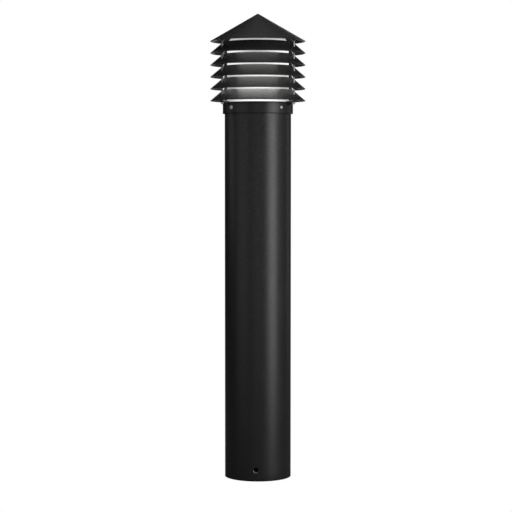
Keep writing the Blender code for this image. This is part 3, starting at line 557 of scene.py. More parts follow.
def glowing_lens():
    """Frosted jar lit from below: glow = level(z) + lobe(z) cos(3 azimuth), toned down where it is looked at."""
    material, tree, shader = new_material("frosted_lens", Emission_Strength=LENS_SHINE)
    where = coordinates(tree, "Object")
    height = spread_value(tree, where["Z"], LENS_LEVELS[0][0], LENS_LEVELS[-1][0])
    azimuth = arithmetic(tree, "ARCTAN2", where["X"], arithmetic(tree, "MULTIPLY", where["Y"], -1.0))
    turn = arithmetic(tree, "MULTIPLY", arithmetic(tree, "SUBTRACT", azimuth, STACK_TURN), LENS_LOBES)
    lobe = arithmetic(tree, "MULTIPLY", arithmetic(tree, "COSINE", turn), level_curve(tree, height, 3))
    seen = arithmetic(tree, "ADD", level_curve(tree, height, 2), lobe)
    lit = spread_value(tree, arithmetic(tree, "COSINE", turn), -1.0, -0.85, 0.0, 1.15)
    cast = arithmetic(tree, "MULTIPLY", level_curve(tree, height, 1), lit)
    looked_at = add_node(tree, "ShaderNodeLightPath").outputs["Is Camera Ray"]
    glow = add_node(tree, "ShaderNodeMix", {"data_type": "FLOAT"}, i0=looked_at, i2=cast,
                    i3=arithmetic(tree, "DIVIDE", seen, LENS_SHINE)).outputs[0]
    tree.links.new(two_tone(tree, glow, (0, 0, 0), (1.0, 0.995, 0.98)), shader.inputs["Emission Color"])
    frost = object_noise(tree, 1500.0, 2.0).outputs[0]
    tree.links.new(two_tone(tree, frost, (0.86, 0.86, 0.85), (0.93, 0.93, 0.92)), shader.inputs["Base Color"])
    tree.links.new(spread_value(tree, frost, 0.3, 0.7, 0.35, 0.5), shader.inputs["Roughness"])
    return material


# Each finish is a material and the record's material slot.
PAINT = powder_coat(), "powder_coat"
STEEL = satin_steel("satin_stainless", (0.70, 0.69, 0.67), (0.86, 0.85, 0.83)), "stainless"
# Darker copy of the satin stainless for the spacers: painted shade, standing in for the shade between the louvres and
# a dimmer reflection of the lens.
SHADED_SPACER_STEEL = satin_steel("shaded_stainless", (0.20, 0.20, 0.195), (0.29, 0.285, 0.28)), "stainless"
OXIDE = black_oxide(), "black_oxide"
CASTING = cast_metal(), "cast_aluminium"
LENS_GLOW = glowing_lens(), "frosted_lens"
RUBBER = mottled("seal_rubber", (0.02, 0.02, 0.02), (0.035, 0.035, 0.035), 0.75), "seal_rubber"
BOARD = mottled("board_white", (0.78, 0.78, 0.76), (0.86, 0.86, 0.84), 0.45), "circuit_board"
PHOSPHOR = mottled("led_phosphor", (0.85, 0.62, 0.12), (0.95, 0.78, 0.25), 0.3), "led_phosphor"
WHITE = mottled("white_reflector", (0.84, 0.84, 0.84), (0.90, 0.90, 0.90), 0.4), "white_reflector"
ZINC = mottled("zinc_plated_steel", (0.50, 0.52, 0.55), (0.66, 0.67, 0.68), 0.4, 60.0, Metallic=1.0), "zinc_steel"
DRIVER = mottled("driver_case", (0.66, 0.66, 0.64), (0.72, 0.72, 0.70), 0.5, 900.0), "driver_case"
TERMINAL = mottled("terminal_plastic", (0.72, 0.70, 0.63), (0.78, 0.76, 0.69), 0.35, 900.0), "terminal_plastic"
GREEN = mottled("green_screw", (0.03, 0.22, 0.07), (0.05, 0.30, 0.10), 0.4, 900.0), "green_screw"
JACKET = mottled("lead_jacket", (0.02, 0.02, 0.02), (0.035, 0.035, 0.035), 0.55, 700.0), "lead_jacket"

# Where the rods stand, and the patches of the grid round their bosses.
ROD_AZIMUTHS = [STACK_TURN + math.pi / 3 + 2 * math.pi * k / ROD_COUNT for k in range(ROD_COUNT)]
ROD_CIRCLE = math.hypot(*middle_of("tie_rod_1")[:2])
BOSS_WINDOW = 6                                        # cells across the patch round a boss
STACK_AZIMUTHS = around(COLUMNS, STACK_TURN)
BOSS_ANGLES = loop_angles(4 * BOSS_WINDOW)
BOSS_RUNGS = ROD_CIRCLE + ROD_CIRCLE * math.pi / COLUMNS * BOSS_WINDOW * np.linspace(1, -1, BOSS_WINDOW + 1)


# ---- Cap and louvres -------------------------------------------------------------------
def plan_circle(azimuth, hole_radius):
    """Azimuth and radius of the points of a circle seen from above, centred on a rod."""
    across, outward = (direction[:2] for direction in compass(azimuth))
    xy = ROD_CIRCLE * outward + hole_radius * (np.cos(BOSS_ANGLES)[:, None] * across
                                               + np.sin(BOSS_ANGLES)[:, None] * outward)
    found = np.arctan2(xy[:, 0], -xy[:, 1])
    found = azimuth + (found - azimuth + math.pi) % (2 * math.pi) - math.pi
    return found, np.hypot(xy[:, 0], xy[:, 1])


def level_rings(azimuth, path):
    """Level rings round a rod, one for each (radius, z)."""
    across, outward = compass(azimuth)
    return axis_rings(ring(azimuth, ROD_CIRCLE, 0.0), across, outward, UP, path, BOSS_ANGLES)


def cone(rim_radius, rim, slope, drop=0.0):
    """Surface z = rim + slope (rim radius - radius), lowered by drop."""
    return lambda azimuth, radius: ring(azimuth, radius, rim + slope * (rim_radius - radius) - drop)


def cone_ring(surface, azimuth, radius, drop=0.0):
    """Ring of a circle round a rod, laid on a cone and lowered by drop."""
    return surface(*plan_circle(azimuth, radius)) - drop * UP


def cone_rungs(surface, radii):
    """Outline points (radius, z) on a cone."""
    return surface(0.0, radii)[:, 1:] * (-1, 1)


def boss_foot(surface, azimuth, foot):
    """Rings of a boss, from its fillet on the inner cone down to its flat foot and into the rod's hole."""
    fillet = [cone_ring(surface, azimuth, BOSS_RADIUS + SOFT_EDGE, SOFT_EDGE),
              cone_ring(surface, azimuth, BOSS_RADIUS, 3 * SOFT_EDGE)]
    return fillet + level_rings(azimuth, [(BOSS_RADIUS, foot + SOFT_EDGE), (BOSS_RADIUS - SOFT_EDGE, foot),
                                          (ROD_HOLE + BEVEL, foot), (ROD_HOLE, foot + BEVEL)])


def boss_windows():
    """For each rod: its azimuth and the first grid column of its window."""
    step = 2 * math.pi / COLUMNS
    return [(azimuth, round((azimuth - STACK_TURN) / step) - BOSS_WINDOW // 2) for azimuth in ROD_AZIMUTHS]


def build_louvre(number):
    """Conical ring: outer cone z = rim + slope (R - r), wall of even thickness, and three bosses.

    Each boss is a path of rings round its rod: spacer's seat, rod hole, flat foot, then out to the inner cone.
    """
    name = f"louvre_{number}"
    low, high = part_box(name)
    rim_radius, rim = high.x, low.z + RIM_EDGE
    upright = LOUVRE_WALL * math.hypot(1, LOUVRE_SLOPE)
    top_radius = rim_radius - LOUVRE_RISE / LOUVRE_SLOPE
    outer = cone(rim_radius, rim, LOUVRE_SLOPE)
    inner = cone(rim_radius, rim, LOUVRE_SLOPE, upright)
    shell = rounded([(rim_radius - (upright - RIM_EDGE) / LOUVRE_SLOPE, low.z, SOFT_EDGE),
                     (rim_radius, low.z, SOFT_EDGE), (rim_radius, rim, SOFT_EDGE),
                     (top_radius, high.z, SOFT_EDGE * 0.75),
                     (top_radius - upright / LOUVRE_SLOPE, high.z, SOFT_EDGE)])
    outer_row = 3 * (ARC_STEPS + 1)                    # the first three corners lie before the outer cone
    outline = np.concatenate([shell[:outer_row], cone_rungs(outer, BOSS_RUNGS), shell[outer_row:],
                              cone_rungs(inner, BOSS_RUNGS[::-1])])
    inner_row = len(outline) - len(BOSS_RUNGS)
    foot, seat = rim - BOSS_DROP, rim + SEAT_RISE
    blend = BOSS_RADIUS + 3 * SOFT_EDGE
    windows = []
    for azimuth, column in boss_windows():
        bore = [cone_ring(outer, azimuth, SPACER_HOLE, BEVEL)]
        bore += level_rings(azimuth, [(SPACER_HOLE, seat), (ROD_HOLE, seat)])
        bore += boss_foot(inner, azimuth, foot)[::-1] + [cone_ring(inner, azimuth, blend)]
        windows += [(outer_row, column, BOSS_WINDOW, 0, outer, plan_circle(azimuth, SPACER_HOLE + BEVEL), bore),
                    (inner_row, column, BOSS_WINDOW, 0, inner, plan_circle(azimuth, blend), [])]
    mesh = weld(f"{name}_skin", pierced(outline, STACK_AZIMUTHS, windows))
    mark_near(mesh, "edge", from_circles((rim_radius, rim), (top_radius, high.z)))
    piece(f"{name}_skin", mesh, PAINT, "head", name)


def build_cap():
    """Plain cone with a softened point; inside, a rib over the lens and three threaded bosses."""
    low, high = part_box("cap")
    rim_radius, rim, apex = high.x, low.z + RIM_EDGE, high.z
    slope = (apex - rim) / rim_radius
    upright = CAP_WALL * math.hypot(1, slope)
    inner = cone(rim_radius, rim, slope, upright)

    def inside(radius, soft=0.0):
        """Outline corner on the inner cone."""
        return radius, apex - slope * radius - upright, soft

    part_way = np.linspace(0, 1, 7)[:, None] ** 0.8
    nose_z = apex - slope * CAP_NOSE * 0.5 * (1 + part_way ** 2)
    nose = np.concatenate([part_way * CAP_NOSE, nose_z], 1)
    edge = rounded([(CAP_NOSE, apex - slope * CAP_NOSE, 0), (rim_radius, rim, SOFT_EDGE),
                    (rim_radius, low.z, SOFT_EDGE),
                    (rim_radius - (upright - RIM_EDGE) / slope, low.z, SOFT_EDGE), inside(CAP_MIDDLE)],
                   closed=False)[1:-1]
    rib_inner, rib_outer = CROWN_RIB
    rib_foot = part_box("crown_gasket")[1].z + FIT_GAP
    rib = rounded([inside(CAP_MIDDLE), inside(rib_outer, 0.001), (rib_outer, rib_foot, SOFT_EDGE),
                   (rib_inner, rib_foot, SOFT_EDGE), inside(rib_inner, 0.001), inside(0.0)], closed=False)
    outline = np.concatenate([nose, edge, cone_rungs(inner, BOSS_RUNGS), rib])
    foot = rim - BOSS_DROP
    thread_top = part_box("tie_rod_1")[1].z + FIT_GAP
    windows = []
    for azimuth, column in boss_windows():
        loop = plan_circle(azimuth, BOSS_RADIUS + 3 * SOFT_EDGE)
        boss = boss_foot(inner, azimuth, foot) + level_rings(azimuth, [(ROD_HOLE, thread_top), (0.0, thread_top)])
        windows.append((len(nose) + len(edge), column, BOSS_WINDOW, 0, inner, loop, boss))
    mesh = weld("cap_skin", pierced(outline, STACK_AZIMUTHS, windows))
    mark_near(mesh, "edge", from_circles((rim_radius, rim)))
    piece("cap_skin", mesh, PAINT, "head", "cap")


# ---- Rods, spacers and nuts --------------------------------------------------------------
def threaded_bar(radius, bottom, top, pitch, depth, columns, per_turn, chamfer=None):
    """Bar with a helical thread: r = radius - depth * w, w a triangle wave of (z / pitch - a / turn).

    The thread runs out at each end, where the bar is chamfered.
    """
    count = max(8, int((top - bottom) / pitch * per_turn))
    z = np.linspace(bottom, top, count + 1)[:, None]
    a = around(columns)[None]
    phase = z / pitch - a / (2 * math.pi)
    wave = 2 * np.abs(phase - np.floor(phase) - 0.5)
    radii = np.minimum(radius - depth * wave, radius - (chamfer or depth) + np.minimum(z - bottom, top - z))
    return np.concatenate([ring(a, 0.0, bottom), ring(a, radii, z), ring(a, 0.0, top)])


def hexagon(angles, across_corners, turn):
    """Radius of a hexagon's outline at each angle: (flat / 2) / cos(angle from the nearest flat's middle)."""
    flat = across_corners * math.cos(math.pi / 6)
    folded = (angles - turn + math.pi / 6) % (math.pi / 3) - math.pi / 6
    return flat / np.cos(folded)


def build_nut(name, centre, turn):
    """Hexagon nut: radius is the smaller of the hexagon's and a chamfering cone's at each end."""
    low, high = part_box(name)
    angles = around(72, turn)
    heights = low.z + (high.z - low.z) * np.array([0, 0, 0.06, 0.12, 0.18, 0.5, 0.82, 0.88, 0.94, 1, 1])[:, None]
    chamfer = NUT_CORNER * 0.86 + np.minimum(heights - low.z, high.z - heights) * math.sqrt(3)
    radii = np.minimum(hexagon(angles, NUT_CORNER, turn)[None], chamfer)
    radii[0] = radii[-1] = ROD_HOLE
    points = ring(angles[None], radii, heights) + centre
    piece(f"{name}_body", [as_patch(points, wrap_rows=True)], STEEL, "head", name, sharp=25)


def build_rods():
    """Tie rods with threaded ends, satin spacers with softened ends in a darkened steel that paints in their shade,
    and chamfered hexagon nuts.
    """
    spacer_low, spacer_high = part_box("spacer_1_1")
    spacer_radius = (spacer_high.x - spacer_low.x) / 2
    for rod, azimuth in enumerate(ROD_AZIMUTHS, 1):
        name = f"tie_rod_{rod}"
        low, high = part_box(name)
        x, y, _ = middle_of(name)
        bar = threaded_bar(ROD_RADIUS, low.z, high.z, ROD_PITCH, ROD_THREAD, 24, 6) + (x, y, 0)
        piece(f"{name}_bar", [as_patch(bar)], STEEL, "head", name)
        for gap in range(1, LOUVRE_COUNT + 1):
            name = f"spacer_{rod}_{gap}"
            bottom, top = (corner.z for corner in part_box(name))
            tube = rounded([(SPACER_BORE, bottom, 0.0001), (spacer_radius, bottom, 0.0003),
                            (spacer_radius, top, 0.0003), (SPACER_BORE, top, 0.0001)], 3)
            piece(f"{name}_sleeve", [turned(tube, SMALL_COLUMNS, centre=(x, y))], SHADED_SPACER_STEEL, "head", name)
        build_nut(f"tie_rod_nut_{rod}", (x, y, 0), azimuth)


# ---- Fitter collar, post and their screws ------------------------------------------------
def plan_extrusion(outline, bottom, top, soft):
    """Level outline raised from bottom to top, drawn in by soft at both ends."""
    centre = outline.mean(0)
    away = outline - centre
    drawn = centre + away * (1 - soft / np.linalg.norm(away, axis=1, keepdims=True))
    layers = [(centre + 0 * away, bottom), (drawn, bottom), (outline, bottom + soft), (outline, top - soft),
              (drawn, top), (centre + 0 * away, top)]
    return np.stack([np.concatenate([xy, np.full((len(xy), 1), z)], 1) for xy, z in layers])


def pin(radius, bottom, top, centre, soft=0.0):
    """Closed upright round bar, with its lower edge softened."""
    outline = rounded([(0.0, bottom, 0), (radius, bottom, soft), (radius, top, 0), (0.0, top, 0)], closed=False)
    return turned(outline, SMALL_COLUMNS, closed=False, centre=centre)


def wall_circle(azimuth, z, wall_radius, hole_radius, angles):
    """Azimuth and height of the points of a round hole bored straight into an upright round wall."""
    return azimuth + np.arcsin(hole_radius * np.cos(angles) / wall_radius), z + hole_radius * np.sin(angles)


def wall_rungs(radius, z, cells):
    """Heights of the grid's rows past a window of so many cells, about the height z."""
    half = radius * math.pi / COLUMNS * cells
    return z + half * np.linspace(-1, 1, cells + 1)


def upright_rungs(radius, heights):
    """Outline points (radius, z) up a wall."""
    return np.stack([np.full(len(heights), radius), heights], 1)


def bored_wall(azimuths, z, cells, rows, radii, mouth, path, hole):
    """Windows of radial holes through an upright wall, whose rows and radii are given as (outer, inner).

    A hole starts at its mouth's radius, follows the path of (radius, distance from the axis) and leaves at hole.
    """
    angles = loop_angles(4 * cells)
    outer, inner = (lambda azimuth, height, radius=radius: ring(azimuth, radius, height) for radius in radii)
    windows = []
    for azimuth in azimuths:
        column = round(azimuth / (2 * math.pi) * COLUMNS) - cells // 2
        across, outward = compass(azimuth)
        back = wall_circle(azimuth, z, radii[1], hole, angles)
        bore = axis_rings(ring(azimuth, 0.0, z), across, UP, outward, path, angles) + [inner(*back)]
        front = wall_circle(azimuth, z, radii[0], mouth, angles)
        windows += [(rows[0], column, cells, 1, outer, front, bore), (rows[1], column, cells, 1, inner, back, [])]
    return windows


def build_fitter():
    """Collar over the post with a top plate, three ears on 45-degree gussets and four screw holes."""
    radius, top = COLLAR_RADIUS, COLLAR_TOP
    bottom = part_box("fitter_collar")[0].z
    screw_z = middle_of("collar_screw_1")[2]
    plate_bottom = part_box("post_tube")[1].z + FIT_GAP
    groove_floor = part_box("lens_gasket")[0].z - FIT_GAP
    board_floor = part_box("led_board")[0].z - FIT_GAP
    cells = 6
    rungs = wall_rungs(radius, screw_z, cells)
    start = rounded([(COLLAR_BORE, bottom, SOFT_EDGE), (radius, bottom, COLLAR_CHAMFER), (radius, screw_z, 0)],
                    closed=False)[1:-1]
    groove_inner, groove_outer = LENS_GROOVE
    plate = rounded([(radius, screw_z, 0), (radius, top, COLLAR_CHAMFER), (groove_outer, top, SOFT_EDGE),
                     (groove_outer, groove_floor, BEVEL), (groove_inner, groove_floor, BEVEL),
                     (groove_inner, top, SOFT_EDGE), (BOARD_RECESS_RADIUS, top, SOFT_EDGE),
                     (BOARD_RECESS_RADIUS, board_floor, BEVEL), (WIRE_HOLE, board_floor, SOFT_EDGE),
                     (WIRE_HOLE, plate_bottom, SOFT_EDGE), (COLLAR_BORE, plate_bottom, 0.0005),
                     (COLLAR_BORE, screw_z, 0)], closed=False)[1:-1]
    end = rounded([(COLLAR_BORE, screw_z, 0), (COLLAR_BORE, bottom, SOFT_EDGE), (radius, bottom, 0)],
                  closed=False)[1:-1]
    outline = np.concatenate([start, upright_rungs(radius, rungs), plate,
                              upright_rungs(COLLAR_BORE, rungs[::-1]), end])
    rows = (len(start), len(start) + len(rungs) + len(plate))
    bevel = 0.0003
    face, floor = math.sqrt(radius ** 2 - SPOT_FACE ** 2), radius - SPOT_DEPTH
    path = [(SPOT_FACE, face - bevel), (SPOT_FACE, floor), (COLLAR_HOLE + bevel, floor), (COLLAR_HOLE, floor - bevel)]
    windows = bored_wall(COLLAR_SCREW_AZIMUTHS, screw_z, cells, rows, (radius, COLLAR_BORE), SPOT_FACE + bevel,
                         path, COLLAR_HOLE)
    mesh = weld("fitter_collar_skin", pierced(outline, around(COLUMNS), windows))

    ear_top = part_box("louvre_5")[0].z + RIM_EDGE - BOSS_DROP - FIT_GAP
    ears, gussets, holes, bosses = [], [], [], []
    for azimuth in ROD_AZIMUTHS:
        across, _ = compass(azimuth)
        sweep = azimuth + np.linspace(math.pi / 2, -math.pi / 2, 25)
        centre = ring(azimuth, ROD_CIRCLE, 0.0)[:2]
        side = ring(azimuth + math.pi / 2, EAR_RADIUS, 0.0)[:2]
        root = ring(azimuth, EAR_INNER, 0.0)[:2]
        outline = np.concatenate([[root + side], centre + ring(sweep, EAR_RADIUS, 0.0)[:, :2], [root - side]])
        ears.append(as_patch(plan_extrusion(outline, EAR_BOTTOM, ear_top, SOFT_EDGE)))
        holes.append(pin(ROD_HOLE, EAR_BOTTOM - PAST, ear_top + PAST, tuple(centre)))

        wall, tip, overlap = radius - 0.002, radius + GUSSET_REACH, 0.001
        profile = np.array([(wall, EAR_BOTTOM + overlap), (tip, EAR_BOTTOM + overlap), (tip, EAR_BOTTOM),
                            (wall, EAR_BOTTOM - (tip - wall))])
        offsets = GUSSET_WIDTH / 2 * np.array((-1, -1, -0.93, 0.93, 1, 1))[:, None, None]
        shrink = np.array((0.0, 0.96, 1.0, 1.0, 0.96, 0.0))[:, None, None]
        middle = profile.mean(0)
        shaped = middle + (profile - middle) * shrink
        gussets.append(as_patch(ring(azimuth, shaped[..., 0], shaped[..., 1]) + offsets * across))
    for side in (-1, 1):
        place = (side * TRAY_BOSS[0], TRAY_BOSS[1])
        bosses.append(pin(TRAY_BOSS_RADIUS, TRAY_BOSS_BOTTOM, plate_bottom + overlap, place, SOFT_EDGE))
        holes.append(pin(TRAY_BORE[0], TRAY_BOSS_BOTTOM - PAST, TRAY_BORE[1], place))
        holes.append(pin(BOARD_SCREW_BORE[0], BOARD_SCREW_BORE[1], top + PAST, (side * BOARD_SCREW_X, 0.0)))
    mesh = fused(mesh, UNION=(ears, gussets, bosses), DIFFERENCE=(holes,))
    mark_near(mesh, "edge", from_circles((radius, bottom), (radius, top)))
    piece("fitter_collar_skin", mesh, PAINT, "head", "fitter_collar")


def build_post():
    """Round tube with softened ends and three screw holes low down."""
    low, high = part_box("post_tube")
    radius, middle = high.x, 0.4
    bore = radius - POST_WALL
    cells = 8
    rungs = wall_rungs(radius, BASE_SCREW_Z, cells)
    start = rounded([(bore, low.z, SOFT_EDGE), (radius, low.z, SOFT_EDGE), (radius, middle, 0)],
                    closed=False)[1:-1]
    top = rounded([(radius, middle, 0), (radius, high.z, SOFT_EDGE), (bore, high.z, SOFT_EDGE),
                   (bore, middle, 0)], closed=False)[1:-1]
    end = rounded([(bore, middle, 0), (bore, low.z, SOFT_EDGE), (radius, low.z, 0)], closed=False)[1:-1]
    outline = np.concatenate([start, upright_rungs(radius, rungs), top, upright_rungs(bore, rungs[::-1]), end])
    rows = (len(start), len(start) + len(rungs) + len(top))
    bevel = 0.0005
    windows = bored_wall(BASE_SCREW_AZIMUTHS, BASE_SCREW_Z, cells, rows, (radius, bore), POST_HOLE + bevel,
                         [(POST_HOLE, radius - bevel - 0.0002)], POST_HOLE)
    mesh = weld("post_tube_skin", pierced(outline, around(COLUMNS), windows))

    def from_ends(points):
        """Distance from the nearer end of the tube."""
        return np.minimum(points[:, 2] - low.z, high.z - points[:, 2])

    def from_worn_lip(points):
        """Distance from the lower lip of the nearest hole, where the screw's key has worn off the coat."""
        azimuth = np.arctan2(points[:, 0], -points[:, 1])
        beside = radius * np.sin((azimuth + math.pi / 3) % (2 * math.pi / 3) - math.pi / 3)
        above = points[:, 2] - BASE_SCREW_Z
        from_axis = np.hypot(beside, above)
        lowness = (-0.35 * beside - 0.94 * above) / np.maximum(from_axis, 0.001)
        off_lip = np.maximum(from_axis - POST_HOLE - bevel, 0) + np.maximum(POST_HOLE - from_axis, 0)
        inside = np.maximum(radius - 2 * bevel - np.hypot(points[:, 0], points[:, 1]), 0)
        return off_lip + inside + 0.004 * np.maximum(0.75 - lowness, 0)

    mark_near(mesh, "edge", from_ends)
    mark_near(mesh, "bare", from_worn_lip)
    piece("post_tube_skin", mesh, PAINT, "post", "post_tube")


def socket_screw(azimuth, z, inner_end, outer_end, radius, flat, depth, pitch):
    """Set screw on a radius of the post: threaded bar, chamfered face and a hexagon socket with a coned floor."""
    length = outer_end - inner_end
    a = around(SMALL_COLUMNS)[None]
    bar = threaded_bar(radius, 0.0, length, pitch, 0.0004, SMALL_COLUMNS, 8, 0.0006)[:-1]
    key = hexagon(a, flat / math.sqrt(3), 0.0)
    local = np.concatenate([bar, ring(a, key + 0.0002, length), ring(a, key, length - 0.0002),
                            ring(a, key, length - depth), ring(a, 0.0, length - depth - 0.0006)])
    return as_patch(laid_out(local, azimuth) + ring(azimuth, inner_end, z))


def laid_out(points, azimuth):
    """Points of an upright pattern, laid down so that its axis points outwards at the azimuth."""
    across, outward = compass(azimuth)
    return points[..., :1] * across + points[..., 1:2] * UP + points[..., 2:] * outward


def build_screws():
    """Four bright screws in the collar and three black ones in the foot."""
    collar_ends = (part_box("post_tube")[1].x + FIT_GAP, COLLAR_SCREW_END)
    jobs = [(f"collar_screw_{k}", azimuth, middle_of(f"collar_screw_{k}")[2], collar_ends, COLLAR_SCREW, STEEL,
             f"collar_screw_{k}") for k, azimuth in enumerate(COLLAR_SCREW_AZIMUTHS, 1)]
    jobs += [(f"base_screw_{k}", azimuth, BASE_SCREW_Z, BASE_SCREW_ENDS, BASE_SCREW, OXIDE, "post")
             for k, azimuth in enumerate(BASE_SCREW_AZIMUTHS, 1)]
    for name, azimuth, z, ends, sizes, finish, body in jobs:
        piece(f"{name}_body", [socket_screw(azimuth, z, *ends, *sizes)], finish, body, name, sharp=25)


# ---- Lens --------------------------------------------------------------------------------
def build_lens():
    """Jar: upright wall, quarter-round shoulder and flat crown, with a softened foot."""
    low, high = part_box("lens")
    radius, inner = high.x, high.x - LENS_WALL
    outline = rounded([(0, high.z, 0), (radius, high.z, LENS_SHOULDER), (radius, low.z, 0.0008),
                       (inner, low.z, 0.0008), (inner, high.z - LENS_WALL, LENS_SHOULDER - LENS_WALL),
                       (0, high.z - LENS_WALL, 0)], 12, closed=False)
    piece("lens_jar", [turned(outline, closed=False)], LENS_GLOW, "head", "lens")


# ---- Anchor casting ----------------------------------------------------------------------
def laid_pin(azimuth, z, inner_end, outer_end, radius, soft=0.0):
    """Closed round bar that lies on a radius of the post."""
    points, faces = pin(radius, inner_end, outer_end, (0.0, 0.0), soft)
    return laid_out(points, azimuth) + z * UP, faces


def build_anchor():
    """Casting: turned floor and skirt with a fillet between them, three bored bosses and three curved slots."""
    low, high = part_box("anchor_base")
    radius, soft = ANCHOR_RADIUS, 0.0010
    inner = radius - ANCHOR_SKIRT
    body = rounded([(CABLE_ENTRY, low.z, soft), (radius, low.z, soft), (radius, high.z, soft),
                    (inner, high.z, soft), (inner, ANCHOR_FLOOR, 0.003), (CABLE_ENTRY, ANCHOR_FLOOR, 0.002)], 5)
    bosses, bores, slots, overlap = [], [], [], 0.003
    for azimuth in BASE_SCREW_AZIMUTHS:
        bosses.append(laid_pin(azimuth, BASE_SCREW_Z, BASE_BOSS_INNER, inner + overlap, BASE_BOSS_RADIUS, 0.0015))
        bores.append(laid_pin(azimuth, BASE_SCREW_Z, BASE_BOSS_INNER - 2 * PAST, radius + 2 * PAST, BASE_SCREW_BORE))
        sweep = azimuth + math.pi / 3 + SLOT_HALF_ANGLE * np.linspace(-1, 1, 17)
        outline = np.concatenate([ring(sweep, SLOT_CIRCLE + SLOT_WIDTH / 2, 0.0),
                                  ring(sweep[::-1], SLOT_CIRCLE - SLOT_WIDTH / 2, 0.0)])[:, :2]
        slots.append(as_patch(plan_extrusion(outline, -2 * PAST, ANCHOR_FLOOR + 2 * PAST, BEVEL)))
    mesh = fused(weld("anchor_casting", [turned(body)]), UNION=(bosses,), DIFFERENCE=(bores, slots))
    piece("anchor_casting", mesh, CASTING, "post", "anchor_base")


# ---- Board, lamps, reflector and seals ------------------------------------------------------
def build_lamp():
    """Turned seals, a level board with two holes, six domed lamps and a hollow reflecting cone."""
    for name, (inner, outer) in SEALS.items():
        low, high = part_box(name)
        soft = 0.0005
        outline = rounded([(inner, low.z, soft), (outer, low.z, soft), (outer, high.z, soft), (inner, high.z, soft)])
        piece(f"{name}_ring", [turned(outline)], RUBBER, "head", name)

    low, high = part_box("led_board")
    outline = rounded([(0, low.z, 0), (high.x, low.z, BEVEL), (high.x, high.z, BEVEL), (0, high.z, 0)], closed=False)
    holes = [pin(SHEET_HOLE, low.z - PAST, high.z + PAST, (side * BOARD_SCREW_X, 0.0)) for side in (-1, 1)]
    mesh = fused(weld("led_board_disc", [turned(outline, closed=False)]), DIFFERENCE=(holes,))
    piece("led_board_disc", mesh, BOARD, "head", "led_board")

    base_radius, dome_radius = 0.0030, 0.0024
    for number in range(1, LED_COUNT + 1):
        name = f"led_{number}"
        low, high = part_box(name)
        x, y, _ = middle_of(name)
        step = low.z + 0.001
        rise = np.linspace(0, math.pi / 2, 9)
        dome = np.stack([dome_radius * np.cos(rise), step + (high.z - step) * np.sin(rise)], 1)
        base = rounded([(0, low.z, 0), (base_radius, low.z, BEVEL), (base_radius, step, BEVEL),
                        (dome_radius, step, 0)], closed=False)[:-1]
        lamp = turned(np.concatenate([base, dome]), SMALL_COLUMNS, closed=False, centre=(x, y))
        piece(f"{name}_dome", [lamp], PHOSPHOR, "head", name)

    low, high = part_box("top_reflector")
    slope = (high.z - low.z) / high.x
    wall = REFLECTOR_WALL * math.hypot(1, slope) / slope
    outline = rounded([(0, low.z, 0), (high.x, high.z, 0.0003), (high.x - wall, high.z, BEVEL),
                       (0, low.z + wall * slope, 0)], closed=False)
    piece("top_reflector_cone", [turned(outline, closed=False)], WHITE, "head", "top_reflector")


# ---- Driver tray ------------------------------------------------------------------------------
def pan_screw(head_radius, head_height, shank_radius, length):
    """Screw from its point (z = 0) up to a domed head with a hexagon socket, standing on the upright axis."""
    a = around(SMALL_COLUMNS)[None]
    top = length + head_height
    shank = threaded_bar(shank_radius, 0.0, length, 0.0006, 0.00015, SMALL_COLUMNS, 6)[:-1]
    arc = np.linspace(0, math.pi / 2, 6)[:, None]
    dome = ring(a, head_radius * (0.62 + 0.38 * np.cos(arc)), length + head_height * (0.35 + 0.65 * np.sin(arc)))
    key = hexagon(a, head_radius * 0.5, 0.0)
    return np.concatenate([shank, ring(a, head_radius, length), dome, ring(a, key, top),
                           ring(a, key, top - head_height * 0.5), ring(a, 0.0, top - head_height * 0.6)])


def build_small_screws():
    """Board, tray, driver and earth screws, each turned from the upright pattern to its own direction."""
    jobs = [(f"{kind}_screw_{k}", kind, STEEL) for kind in ("board", "tray", "driver") for k in (1, 2)]
    jobs.append(("ground_screw", "ground", GREEN))
    for name, kind, finish in jobs:
        low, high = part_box(name)
        centre = middle_of(name)
        head_radius, head_height, shank_radius = PAN_SCREWS[kind]
        flat = kind in ("driver", "ground")
        whole = high.y - low.y if flat else high.z - low.z
        x, y, z = np.moveaxis(pan_screw(head_radius, head_height, shank_radius, whole - head_height), -1, 0)
        if flat:                                       # head towards the front
            points = x + centre[0], high.y - z, y + centre[2]
        elif kind == "tray":                           # head down
            points = x + centre[0], y + centre[1], high.z - z
        else:
            points = x + centre[0], y + centre[1], z + low.z
        piece(f"{name}_body", [as_patch(np.stack(points, -1))], finish, "head", name, sharp=30)


def rounded_block(low, high, corner, soft):
    """Upright block with rounded corners seen from above and softened ends."""
    outline = rounded([(low[0], low[1], corner), (high[0], low[1], corner), (high[0], high[1], corner),
                       (low[0], high[1], corner)], 6)
    return as_patch(plan_extrusion(outline, low[2], high[2], soft))


def laid_hole(x, y, z, radius, reach):
    """Closed round bar along Y, used as a cutter."""
    points, faces = turned([(0, -reach), (radius, -reach), (radius, reach), (0, reach)], 32, closed=False)
    return np.stack([points[:, 0] + x, points[:, 2] + y, points[:, 1] + z], 1), faces


